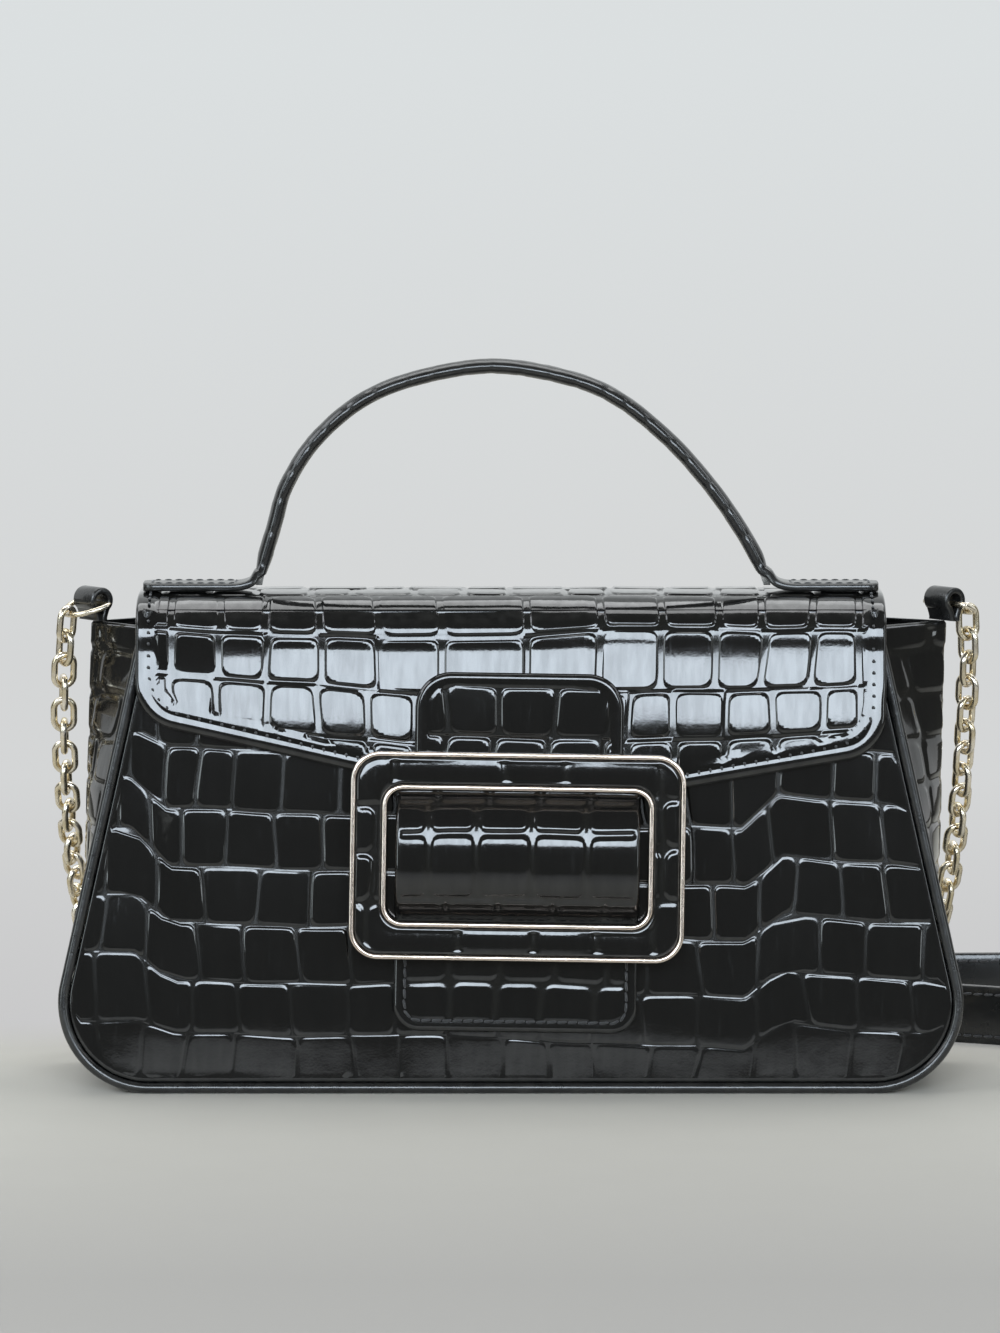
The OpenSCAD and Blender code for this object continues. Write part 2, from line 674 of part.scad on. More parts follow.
// Links along a route, each a quarter turn from the one before, the last one upright
module chain(points, first_roll) {
  line = spline(points, link_steps);
  runs = run_lengths(line);
  total = runs[len(runs) - 1];
  count = ceil(total / link_spacing);
  last_roll = 90 * ((count + 1) % 2);
  for (i = [0:count]) {
    s = total * i / count;
    t = unit(
      place_at(line, runs, min(s + link_spacing / 2, total)) - place_at(line, runs, max(s - link_spacing / 2, 0))
    );
    translate(place_at(line, runs, s))
      rotate([first_roll + (last_roll - first_roll) * i / count + 90 * (i % 2), -asin(t.z), atan2(t.y, t.x)]) link();
  }
}
module chain_left() color(metal_gold) chain(chain_left_points, chain_left_roll);
module chain_right() color(metal_gold) chain(chain_right_points, chain_right_roll);

strap_line = spline(strap_points, strap_steps);
strap_tangents = tangents(strap_line);
module strap_hole(p, t) {
  translate([p.x, p.y, strap_z] + strap_hole_in * [t.x, t.y, 0]) rotate([0, 0, atan2(t.y, t.x)])
    rotate([90, 0, 0]) cylinder(r = strap_hole_r, h = 2 * strap_t, center = true, $fn = round_fn / 2);
}
module shoulder_strap() color(leather_black) {
  last = len(strap_line) - 1;
  difference() {
    skin([
      for (i = [0:last])
        let (
          p = strap_line[i], t = strap_tangents[i], n = strap_t / 2 * [-t.y, t.x],
          h = strap_w / 2 * (i == 0 || i == last ? strap_end_share : 1), a = p - n, b = p + n
        )
        [[a.x, a.y, strap_z + h], [b.x, b.y, strap_z + h], [b.x, b.y, strap_z - h], [a.x, a.y, strap_z - h]]
    ], [[0, 1, 2, 3]]);
    strap_hole(strap_line[0], strap_tangents[0]);
    strap_hole(strap_line[last], -strap_tangents[last]);
  }
}
// A ring through the hole in each end of the leather
module strap_ring(p, t) color(metal_gold)
  translate([p.x, p.y, strap_z] + (strap_hole_in - strap_ring_r) * [t.x, t.y, 0])
    rotate_extrude($fn = round_fn) translate([strap_ring_r, 0]) circle(r = ring_r, $fn = round_fn / 2);
module strap_ring_left() strap_ring(strap_line[0], strap_tangents[0]);
module strap_ring_right() strap_ring(strap_line[len(strap_line) - 1], -strap_tangents[len(strap_line) - 1]);

front_panel();
back_panel();
gusset_left();
gusset_right();
gusset_base();
front_piping();
back_piping();
front_stiffener();
back_stiffener();
base_board();
lining();
flap_back_strip();
ring_loop_left();
ring_loop_right();
front_magnet();
flap_panel();
flap_lining();
buckle_tab();
tongue();
tongue_padding();
tongue_lining();
tongue_magnet();
buckle_frame();
buckle_inlay();
buckle_outer_rim();
buckle_inner_rim();
handle_end_left();
handle_end_right();
handle();
handle_core();
d_ring_left();
d_ring_right();
chain_left();
chain_right();
shoulder_strap();
strap_ring_left();
strap_ring_right();
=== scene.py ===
"""Looks of the top handle bag. Lengths are in millimetres until a mesh is made, then in metres."""
import math

import bpy
import numpy as np
from mathutils import Matrix, Vector


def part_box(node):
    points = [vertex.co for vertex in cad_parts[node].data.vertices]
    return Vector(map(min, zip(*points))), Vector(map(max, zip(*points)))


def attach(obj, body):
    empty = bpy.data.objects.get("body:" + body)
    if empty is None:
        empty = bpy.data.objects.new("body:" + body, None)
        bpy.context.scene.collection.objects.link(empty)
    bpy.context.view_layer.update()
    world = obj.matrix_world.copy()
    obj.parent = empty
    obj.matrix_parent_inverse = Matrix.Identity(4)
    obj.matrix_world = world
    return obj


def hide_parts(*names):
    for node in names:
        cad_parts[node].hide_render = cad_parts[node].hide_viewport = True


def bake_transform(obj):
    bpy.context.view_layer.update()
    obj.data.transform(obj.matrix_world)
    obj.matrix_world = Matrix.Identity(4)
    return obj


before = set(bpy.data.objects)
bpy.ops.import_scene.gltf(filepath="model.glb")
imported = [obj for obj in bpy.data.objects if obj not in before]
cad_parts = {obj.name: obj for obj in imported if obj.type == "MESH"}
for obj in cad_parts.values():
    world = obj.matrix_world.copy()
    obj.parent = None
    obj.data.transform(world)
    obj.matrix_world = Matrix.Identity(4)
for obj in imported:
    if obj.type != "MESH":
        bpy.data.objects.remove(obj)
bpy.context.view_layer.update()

MM = 0.001
TURN = 2 * math.pi

# ---------------------------------------------------------------- sizes, most of them the CAD model's
PANEL_TOP_HALF = 101.5
PANEL_H = 133.0
BASE_DEPTH, TOP_DEPTH = 60.0, 36.0
CORNER_R = 25.0
CORNER_X = 100.0
PANEL_T, PIPING_D, SEAM = 2.0, 3.0, 0.15
PIPING_R = PIPING_D / 2
GUSSET_H = 128.5
CREASE_LEFT, CREASE_RIGHT, CREASE_FOOT = 118.0, 122.5, 47.0
TILT = math.atan2((BASE_DEPTH - TOP_DEPTH) / 2, PANEL_H)
LIFT = PIPING_R * (1 + math.sin(TILT) - math.cos(TILT))
PANEL_V = PANEL_H / math.cos(TILT)
REACH = (PANEL_TOP_HALF - CORNER_X, PANEL_V - CORNER_R)
SIDE_ANGLE = math.atan2(REACH[1], REACH[0]) - math.acos(CORNER_R / math.hypot(*REACH))
PANEL_INSET = PIPING_D + SEAM

FLAP_HALF = 103.5
# The flap's lower edge lies 2.5 mm lower than in the CAD model, as the photo shows it.
FLAP_LEFT_V, FLAP_RIGHT_V = PANEL_V - 30.5, PANEL_V - 39.5
FLAP_TIP_V, FLAP_TIP_X = PANEL_V - 56.5, 8.0
FLAP_CORNER_R = 13.0
FLAP_W_OUT = 3.35
FLAP_TOP_Z = 136.89

BUCKLE_X, BUCKLE_V, BUCKLE_TURN = 1.8, PANEL_V - 68, math.radians(0.9)
BUCKLE_W, BUCKLE_H, BUCKLE_R = 92.0, 57.0, 8.0
WINDOW_W, WINDOW_H, WINDOW_R = 72.0, 36.4, 4.5
RIM_W, RIM_W0, RIM_W1 = 1.3, 5.05, 10.42
INLAY_W0, INLAY_W1 = 9.13, 10.02
TAB_HALF, TAB_LOW, TAB_RISE, TAB_R, TAB_W1 = 28.75, 20.2, 50.5, 10.0, 4.9
TAB_LEAST_W = 1.9  # the tab's back, deep enough to meet the flap where that curves inwards
# Heights on the front, and how far out the flap's leather lies at each.
HANG_V, HANG_W = (84, 92, 99, 105, 111, 117, 122), (3.3, 3.28, 3.12, 2.78, 2.3, 1.75, 1.35)
TONGUE_HALF, TONGUE_DROP, TONGUE_R, TONGUE_T = 33.5, 48.5, 7.0, 1.4
ROLL_H, ROLL_RISE = 34.0, 7.2
TONGUE_LOW_W = 2.75

HANDLE_LEFT, HANDLE_SPAN, HANDLE_RISE = -70.3, 142.0, 64.7
HANDLE_W, HANDLE_T = 8.0, 4.4
HANDLE_SHARES = [
    (0, 0), (0.012, 0.13), (0.034, 0.3), (0.055, 0.46), (0.11, 0.66), (0.2, 0.84), (0.31, 0.945),
    (0.46, 1), (0.61, 0.945), (0.707, 0.85), (0.8, 0.68), (0.867, 0.515), (0.925, 0.34), (0.975, 0.15), (1, 0),
]

LOOP_IN, LOOP_Z, LOOP_TURN, LOOP_R, LOOP_T, LOOP_W = 1.8, 134.4, math.radians(35), 3.6, 1.7, 10.0
D_RING_R, RING_D, D_RING_DROP, D_RING_Z = 8.5, 1.5, math.radians(20), 133.4
LINK_L, LINK_W, LINK_D, LINK_SPACING = 11.0, 7.4, 1.9, 6.8
CHAIN_LEFT = [
    (-123.3, -4.7, 127.9), (-124.1, -3.2, 118), (-124.6, 0.5, 105), (-124.7, 6, 90), (-124.5, 12.5, 77),
    (-124.2, 21, 65), (-123.6, 30, 54), (-122.4, 38, 43), (-120.3, 44, 31), (-116.8, 50, 20),
    (-111, 56, 10.5), (-103, 62, 5.5), (-94, 68, 4), (-84, 73.5, 4), (-74, 78.5, 5), (-66, 82, 7), (-56.7, 85.5, 8.5),
]
CHAIN_RIGHT = [
    (127.5, 4.85, 127.75), (127.8, 5.6, 118), (127.6, 8, 105), (127.2, 12, 90), (126.6, 17, 77),
    (125.8, 23, 65), (124.8, 29.5, 54), (123, 34.5, 43), (119.8, 37.5, 31), (115, 38.8, 20),
    (107.5, 39, 11), (99, 39, 6), (89, 40, 4), (78, 43.5, 4), (69.5, 51.6, 4), (66.4, 61, 4), (70.5, 70.5, 4),
    (80, 75.4, 6), (90.2, 74.9, 8.5),
]
CHAIN_LEFT_ROLL, CHAIN_RIGHT_ROLL = -16, -62
STRAP = [
    (-49, 88.5), (-30, 96), (-5, 105), (25, 114), (60, 121), (100, 126.5), (140, 129.5), (175, 130),
    (205, 126.5), (228, 117), (238.5, 99), (238, 78), (226, 62), (205, 54), (178, 52), (150, 56), (124, 66.5), (98, 73),
]
STRAP_W, STRAP_T, STRAP_HOLE_IN, STRAP_RING_R = 17.0, 3.0, 4.5, 5.0
STITCH_PITCH = 3.2


# ---------------------------------------------------------------- curves and places
def spline(points, steps):
    """Smooth curve through points, ending on the first and last of them."""
    p = np.array(points, float)
    t = (np.arange(steps) / steps)[:, None]
    out = []
    for i in range(len(p) - 1):
        a, b, c, d = p[max(i - 1, 0)], p[i], p[i + 1], p[min(i + 2, len(p) - 1)]
        out.append(b + t * (c - a) / 2 + t ** 2 * (2 * a - 5 * b + 4 * c - d) / 2
                   + t ** 3 * (3 * b - a - 3 * c + d) / 2)
    return np.vstack(out + [p[-1:]])


def run_lengths(line):
    return np.concatenate([[0], np.cumsum(np.linalg.norm(np.diff(line, axis=0), axis=1))])


def along(line, s):
    """Points of a line at distances s along it."""
    runs = run_lengths(line)
    return np.stack([np.interp(s, runs, line[:, k]) for k in range(line.shape[1])], axis=-1)


def evenly(line, pitch, closed=False):
    """The line again, as points about one pitch apart."""
    if closed:
        line = np.vstack([line, line[:1]])
    total = run_lengths(line)[-1]
    count = max(2, round(total / pitch))
    return along(line, np.arange(count) * total / count if closed else np.linspace(0, total, count + 1))


def directions(line, closed=False):
    d = np.roll(line, -1, 0) - np.roll(line, 1, 0) if closed else np.gradient(line, axis=0)
    return d / np.linalg.norm(d, axis=1, keepdims=True)


def smooth(low, high, x):
    t = np.clip((x - low) / (high - low), 0, 1)
    return t * t * (3 - 2 * t)


FINE = 24  # points on a round corner that shows


def rounded(corners, steps=12):
    """Outline through corners given as (x, y, radius)."""
    out = []
    n = len(corners)
    for i, (x, y, r) in enumerate(corners):
        b = np.array((x, y), float)
        if r == 0:
            out.append(b)
            continue
        u = np.array(corners[i - 1][:2]) - b
        w = np.array(corners[(i + 1) % n][:2]) - b
        u, w = u / np.linalg.norm(u), w / np.linalg.norm(w)
        half = math.acos(float(u @ w)) / 2
        m = b + (u + w) / np.linalg.norm(u + w) * r / math.sin(half)
        p, q = b + u * r / math.tan(half) - m, b + w * r / math.tan(half) - m
        start = math.atan2(p[1], p[0])
        turn = (math.atan2(q[1], q[0]) - start + 3 * math.pi) % TURN - math.pi
        out += [m + r * np.array((math.cos(start + turn * k / steps), math.sin(start + turn * k / steps)))
                for k in range(steps + 1)]
    return np.array(out)


def box_outline(w, h, r, steps=12):
    return rounded([(-w / 2, -h / 2, r), (w / 2, -h / 2, r), (w / 2, h / 2, r), (-w / 2, h / 2, r)], steps)


def distance_to(line, x, y, closed=True):
    """Distance of every point (x, y) to a line."""
    ends = np.roll(line, -1, 0) if closed else line[1:]
    best = np.full(x.shape, np.inf)
    for a, b in zip(line, ends):
        d = b - a
        size = d @ d
        if size < 1e-12:
            continue
        t = np.clip(((x - a[0]) * d[0] + (y - a[1]) * d[1]) / size, 0, 1)
        best = np.minimum(best, (x - a[0] - t * d[0]) ** 2 + (y - a[1] - t * d[1]) ** 2)
    return np.sqrt(best)


def front(x, v, w):
    """Row frame of a point in the front panel's plane: x across, v up along it, w outwards."""
    return np.stack([x + 0 * v, -BASE_DEPTH / 2 - w * math.cos(TILT) + v * math.sin(TILT) + 0 * x,
                     LIFT + w * math.sin(TILT) + v * math.cos(TILT) + 0 * x], axis=-1)


def back(x, v, w):
    return front(x, v, w) * np.array((1, -1, 1))


def at_buckle(x, v, w):
    """As front, from the buckle's centre and with its slight turn."""
    c, s = math.cos(BUCKLE_TURN), math.sin(BUCKLE_TURN)
    return front(BUCKLE_X + x * c + v * s, BUCKLE_V - x * s + v * c, w)


def outward(place):
    """The direction in which the third coordinate of front, back or at_buckle grows."""
    o = np.zeros(1)
    return place(o, o, np.ones(1))[0] - place(o, o, o)[0]


def side_x(inset, v):
    return (CORNER_X + (CORNER_R - inset) * math.cos(SIDE_ANGLE)
            - (v - CORNER_R - (CORNER_R - inset) * math.sin(SIDE_ANGLE)) * math.tan(SIDE_ANGLE))


def corner_point(inset, angle):
    return CORNER_X + (CORNER_R - inset) * np.cos(angle), CORNER_R + (CORNER_R - inset) * np.sin(angle)


def fold_x(side):
    return CREASE_LEFT if side < 0 else CREASE_RIGHT


def fold(side, v):
    """How far a gusset's fold stands out from the body's side at a height."""
    return (fold_x(side) - side_x(0, GUSSET_H)) * np.maximum(0, (v - CREASE_FOOT) / (GUSSET_H - CREASE_FOOT))


def loop_x(side):
    return side * (fold_x(side) - LOOP_IN)


def body_outline(inset, top, steps=FINE):
    """Points from the right side's top round the base to the left side's top."""
    x, v = corner_point(inset, np.linspace(SIDE_ANGLE, -math.pi / 2, steps + 1))
    right = np.vstack([[(side_x(inset, top), top)], np.stack([x, v], axis=1)])
    return np.vstack([right, right[::-1] * (-1, 1)])


# ---------------------------------------------------------------- meshes
def piece_name(name):
    """A piece that stands for a CAD node of the same name is called finished."""
    return name + "_finished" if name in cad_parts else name


def link_object(name, data):
    made = bpy.data.objects.new(name, data)
    bpy.context.scene.collection.objects.link(made)
    return made


def new_mesh(name, vertices, faces, material, masks=None):
    """A mesh object from points in millimetres, with a value of every mask at each point."""
    name = piece_name(name)
    mesh = bpy.data.meshes.new(name)
    mesh.from_pydata((np.asarray(vertices) * MM).tolist(), [], faces)
    for key, values in (masks or {}).items():
        mesh.attributes.new(key, "FLOAT", "POINT").data.foreach_set("value", np.asarray(values, np.float32).ravel())
    mesh.shade_smooth()
    mesh.materials.append(material)
    mesh.update()
    return link_object(name, mesh)


def crisp(piece):
    """Keeps the edges sharp where faces meet at more than 60 degrees."""
    piece.data.set_sharp_from_angle(angle=math.radians(60))
    return piece


def make_masks(groove, tone, border):
    return {"groove": groove, "tone": tone, "border": border}


def longer(masks, extra):
    """The masks with zeros for the points of a piece's back."""
    return {key: np.append(values, np.zeros(extra)) for key, values in (masks or {}).items()}


def grid_faces(rows, columns, start=0, flip=False, wrap=False):
    """Four-sided faces of a grid of points, row by row."""
    i = np.arange(rows - 1)[:, None] * columns + start
    j = np.arange(columns if wrap else columns - 1)[None]
    k = (j + 1) % columns
    faces = np.stack([i + j, i + k, i + columns + k, i + columns + j], axis=-1).reshape(-1, 4)
    return (faces[:, ::-1] if flip else faces).tolist()


def band(low, high, columns, flip=False):
    """Faces between two closed rings of points, whose first points have the numbers low and high."""
    j = np.arange(columns)
    k = (j + 1) % columns
    faces = np.stack([low + j, low + k, high + k, high + j], axis=-1)
    return (faces[:, ::-1] if flip else faces).tolist()


def border_of(rows, columns):
    """Indices round the edge of a grid."""
    return np.concatenate([np.arange(columns), np.arange(1, rows) * columns + columns - 1,
                           np.arange(columns - 2, -1, -1) + (rows - 1) * columns,
                           np.arange(rows - 2, 0, -1) * columns])


def normals_of(points):
    n = np.cross(np.gradient(points, axis=1), np.gradient(points, axis=0))
    return n / np.maximum(np.linalg.norm(n, axis=-1, keepdims=True), 1e-9)


def shell(name, surface, height, thickness, material, masks=None, flip=False):
    """A closed sheet of leather: surface is its outer face before height is added along its normal."""
    rows, columns = surface.shape[:2]
    n = normals_of(surface) * (-1 if flip else 1)
    outer, inner = surface + n * height[..., None], surface - n * thickness
    count = rows * columns
    faces = grid_faces(rows, columns, 0, flip) + grid_faces(rows, columns, count, not flip)
    edge = border_of(rows, columns)
    other = np.roll(edge, -1)
    walls = np.stack([edge, other, other + count, edge + count], axis=-1)
    faces += (walls if flip else walls[:, ::-1]).tolist()
    points = np.vstack([outer.reshape(-1, 3), inner.reshape(-1, 3)])
    return crisp(new_mesh(name, points, faces, material, longer(masks, count)))


def flat_shell(name, place, x, v, height, low, material, masks, flip=False):
    """As shell, for a piece whose back is one flat face at low."""
    rows, columns = x.shape
    outer = place(x, v, height).reshape(-1, 3)
    edge = border_of(rows, columns)
    count = rows * columns
    under = place(x.ravel()[edge], v.ravel()[edge], np.full(len(edge), low))
    k = np.arange(len(edge))
    walls = np.stack([edge, k + count, np.roll(k, -1) + count, np.roll(edge, -1)], axis=-1)
    faces = grid_faces(rows, columns, 0, flip) + (walls[:, ::-1] if flip else walls).tolist()
    faces.append(((k if flip else k[::-1]) + count).tolist())
    return crisp(new_mesh(name, np.vstack([outer, under]), faces, material, longer(masks, len(edge))))


def sweep(name, path, across, sections, material, closed=False, masks=None):
    """A solid of the given sections along a path. across is the sections' first direction at each point,
    and a section is k points (first, second), one for all or one for each point of the path."""
    t = directions(path, closed)
    across = np.broadcast_to(np.asarray(across, float), path.shape)
    a = across - (across * t).sum(1, keepdims=True) * t
    a = a / np.linalg.norm(a, axis=1, keepdims=True)
    b = np.cross(t, a)
    sections = np.broadcast_to(sections, (len(path),) + np.asarray(sections).shape[-2:])
    rings = path[:, None] + sections[..., :1] * a[:, None] + sections[..., 1:] * b[:, None]
    rows, columns = rings.shape[:2]
    faces = grid_faces(rows, columns, wrap=True)
    last = (rows - 1) * columns
    if closed:
        faces += band(last, 0, columns)
    else:
        faces += [list(range(columns))[::-1], list(range(last, last + columns))]
    return new_mesh(name, rings.reshape(-1, 3), faces, material, masks)


WIRE_SIDES = 14


def oval(a, b, sides):
    t = np.arange(sides) * TURN / sides
    return np.stack([a * np.cos(t), b * np.sin(t)], axis=-1)


def soft_box(w, h, r, steps):
    """A rectangular section with rounded corners, w along the first direction and h along the second."""
    return box_outline(w, h, min(r, w / 2 - 0.01, h / 2 - 0.01), steps)


# ---------------------------------------------------------------- the embossed scales
def scale_pattern(seed, lines, low, high, width, spread=0.16, edges=None, slope=0.0, sway=0.9):
    """Rows of scales between the given lines, each with its own upright joints, of which edges gives the first
    ones of some rows."""
    rng = np.random.default_rng(seed)
    count = int((high - low) / width) + 5
    rows = []
    for k in range(len(lines) - 1):
        given = np.array((edges or {}).get(k, []), float)
        start = given[-1] if len(given) else low - width * rng.uniform(0.3, 1.7)
        more = start + np.cumsum(width * (1 + spread * rng.uniform(-1, 1, count)))
        rows.append(np.concatenate([given, more])[:count])
    return {
        "lines": np.array(lines, float), "edges": np.array(rows), "slope": slope, "sway": sway,
        "lean": rng.uniform(-1, 1, (len(lines) - 1, count, 2)), "tone": rng.uniform(0, 1, (len(lines) - 1, count)),
        "phase": np.random.default_rng(seed // 10).uniform(0, TURN, 6),
    }


SCALES = dict(gap=0.3, shoulder=1.15, round=3.0, depth=0.5, crown=0.1, lean=0.012)


def wobble(u, v, phase, fine):
    """Slow and fine waves across and up, so that no joint and no line runs quite straight."""
    across = (0.6 * np.sin(v / 7.3 + phase[0]) + np.sin(v / 17 + u / 31 + phase[1])
              + fine * np.sin(v / 2.9 + u / 9 + phase[2]))
    up = (0.55 * np.sin(u / 11.7 + phase[3]) + np.sin(u / 29 + v / 37 + phase[4])
          + fine * np.sin(u / 4.1 + v / 8 + phase[5]))
    return across, up


def tile_form(x, y, a, b, size):
    """1 on a tile's top and 0 in the groove round it, and its crown, for points (x, y) from the middle of a tile
    of half sizes a and b."""
    r = np.minimum(size["round"], np.minimum(a, b) * 0.6)
    qx, qy = np.abs(x) - (a - r), np.abs(y) - (b - r)
    inside = r - np.hypot(np.maximum(qx, 0), np.maximum(qy, 0)) - np.minimum(np.maximum(qx, qy), 0)
    top = smooth(size["gap"], size["gap"] + size["shoulder"], inside)
    return top, 1 - ((x / a) ** 2 + (y / b) ** 2) / 2


def scales(pattern, u, v):
    """Height from -1 in a groove to 0 on a scale, with crown and lean in millimetres, and masks."""
    across, up = wobble(u, v, pattern["phase"], 0.3)
    across = u + pattern["sway"] * across
    up = v - pattern["slope"] * u + pattern["sway"] * up
    lines, edges = pattern["lines"], pattern["edges"]
    k = np.clip(np.searchsorted(lines, up) - 1, 0, len(lines) - 2)
    i = np.zeros(k.shape, int)
    for row in range(len(lines) - 1):
        m = k == row
        i[m] = np.clip(np.searchsorted(edges[row], across[m]) - 1, 0, edges.shape[1] - 2)
    left, right, low, high = edges[k, i], edges[k, i + 1], lines[k], lines[k + 1]
    x, y = across - (left + right) / 2, up - (low + high) / 2
    top, crown = tile_form(x, y, (right - left) / 2, (high - low) / 2, SCALES)
    lean = pattern["lean"][k, i, 0] * x + pattern["lean"][k, i, 1] * y
    return {"rise": top - 1, "shape": SCALES["crown"] * crown + SCALES["lean"] * lean, "groove": 1 - top,
            "tone": pattern["tone"][k, i]}


def emboss(s, amount):
    """Height of the scales in millimetres, 0 at a scale's top and fading out where amount is 0."""
    return amount * (SCALES["depth"] * s["rise"] + (s["shape"] - SCALES["crown"]) * (s["rise"] + 1))


def tile_height(x, y, a, b, lean, size):
    """Height of points in a tile's own coordinates, 0 at its top's middle, and how much they lie in a groove."""
    top, crown = tile_form(x, y, a, b, size)
    tilt = lean[0] * x + lean[1] * y
    return size["depth"] * lean[2] * (top - 1) + (size["crown"] * (crown - 1) + tilt) * top, 1 - top


def tile_offsets(size):
    """Distances from a joint at which a tile's mesh has its lines: close together on the shoulder."""
    gap, shoulder = size["gap"], size["shoulder"]
    steps = [gap + shoulder * q for q in (0.2, 0.4, 0.6, 0.8, 1)]
    return np.array([0, gap] + steps + [gap + shoulder + q for q in (0.35, 0.9, 1.8, 3.2)])


def zip_lines(first, second, at_first, at_second):
    """Triangles between two lines of vertex numbers, both in order of a shared parameter."""
    out, i, j = [], 0, 0
    while i < len(first) - 1 or j < len(second) - 1:
        if j == len(second) - 1 or (i < len(first) - 1 and at_first[i + 1] <= at_second[j + 1]):
            out.append((first[i], first[i + 1], second[j]))
            i += 1
        else:
            out.append((first[i], second[j + 1], second[j]))
            j += 1
    return out


def tile_field(seed, knots, lines, joints, size, warp=0.7, slant=1.2, leans=None):
    """Mesh of a field of embossed tiles in flat coordinates. lines are the rows' borders, each given at the
    knots across; joints are the upright ones of every row; leans gives some tiles a lean and a depth."""
    rng = np.random.default_rng(seed)
    phase = rng.uniform(0, TURN, 6)
    offsets = tile_offsets(size)
    n = len(offsets)
    least = 0.02  # between two lines of the mesh where a tile is too narrow for its offsets
    points, heights, grooves, tones, faces = [], [], [], [], []
    count, last = 0, None
    for k, row in enumerate(joints):
        row = np.array(row, float)
        ends = np.stack([row + rng.uniform(-slant, slant, len(row)) for _ in range(2)])
        tiles = len(row) - 1
        lean = np.stack([rng.normal(0, size["lean"], tiles), rng.normal(0, size["lean"], tiles),
                         rng.uniform(0.45, 1.3, tiles)])
        for i, given in (leans or {}).get(k, {}).items():
            lean[:, i] = given
        tone = rng.uniform(0, 1, tiles)

        # Columns: which tile each belongs to, and which offset from that tile's left or right joint.
        tile = np.append(np.repeat(np.arange(tiles), 2 * n - 1), tiles - 1)
        step = np.append(np.tile(np.arange(2 * n - 1), tiles), 2 * n - 1)
        right = step >= n
        step = np.where(right, 2 * n - 1 - step, step)

        # Rows: offsets from the lower line, then from the upper one, as shares of the row's usual height.
        middle = float(np.mean(np.interp(row, knots, lines[k + 1]) - np.interp(row, knots, lines[k])))
        room = middle / 2 - least * np.append(np.arange(n, 0, -1), np.arange(1, n + 1))
        up = np.minimum(np.append(offsets, offsets[::-1]), room)
        up[[0, -1]] = 0.1
        upper = np.arange(2 * n) >= n
        t = np.where(upper, 1 - up / middle, up / middle)[:, None]

        joint = ends[0][None] * (1 - t) + ends[1][None] * t
        left_x, right_x = joint[:, tile], joint[:, tile + 1]
        width = right_x - left_x
        off = np.minimum(offsets[step][None], width / 2 - least * (n - step)[None])
        a = np.where(right[None], right_x - off, left_x + off)
        low, high = np.interp(a, knots, lines[k]), np.interp(a, knots, lines[k + 1])
        scale = (high - low) / middle
        b = np.where(upper[:, None], high - up[:, None] * scale, low + up[:, None] * scale)
        height, groove = tile_height(a - (left_x + right_x) / 2, b - (low + high) / 2, width / 2, (high - low) / 2,
                                     lean[:, tile][:, None], size)
        across, upwards = wobble(a, b, phase, 0.25)
        points.append(np.stack([a + warp * across, b + warp * upwards], axis=-1).reshape(-1, 2))
        heights.append(height.ravel())
        grooves.append(groove.ravel())
        tones.append(np.broadcast_to(tone[tile][None], a.shape).ravel())

        rows, columns = a.shape
        faces += grid_faces(rows, columns, count)
        if last is not None:
            faces += zip_lines(last[0], (np.arange(columns) + count).tolist(), last[1], a[0])
        last = ((count + (rows - 1) * columns + np.arange(columns)).tolist(), a[-1])
        count += rows * columns
    return np.vstack(points), faces, {"height": np.concatenate(heights), "groove": np.concatenate(grooves),
                                      "tone": np.concatenate(tones)}


def dense(outline, lengths, pitch):
    """A closed outline with more points on its long sides, the same number whatever its inset."""
    out = []
    for i, length in enumerate(lengths):
        a, b = outline[i], outline[(i + 1) % len(outline)]
        steps = max(1, round(length / pitch))
        out += [a + (b - a) * q / steps for q in range(steps)]
    return np.array(out)


def onto(limit, points):
    """Which points lie inside a closed outline, and for each point the nearest place on the outline, as x, y and
    the number of the outline's point before it plus a share of the way to the next."""
    size = len(limit)
    best, place = np.full(len(points), np.inf), np.zeros((len(points), 3))
    inside = np.zeros(len(points), bool)
    for i in range(size):
        a, b = limit[i], limit[(i + 1) % size]
        d = b - a
        t = np.clip(((points - a) @ d) / max(d @ d, 1e-12), 0, 1)
        near = a + t[:, None] * d
        far = ((points - near) ** 2).sum(1)
        closer = far < best
        best[closer] = far[closer]
        place[closer] = np.column_stack([near[closer], i + t[closer]])
        if a[1] != b[1]:
            crossing = (a[1] > points[:, 1]) != (b[1] > points[:, 1])
            inside ^= crossing & (points[:, 0] < a[0] + (points[:, 1] - a[1]) * d[0] / d[1])
    return inside, place


def open_loop(faces, order):
    """The points round the open edge of a mesh, from the one that comes first in order."""
    edges = {}
    for face in faces:
        for a, b in zip(face, face[1:] + face[:1]):
            if (b, a) in edges:
                del edges[(b, a)]
            else:
                edges[(a, b)] = True
    following = dict(edges.keys())
    loop = [min(following, key=lambda q: order[q])]
    while following[loop[-1]] != loop[0]:
        loop.append(following[loop[-1]])
    return loop


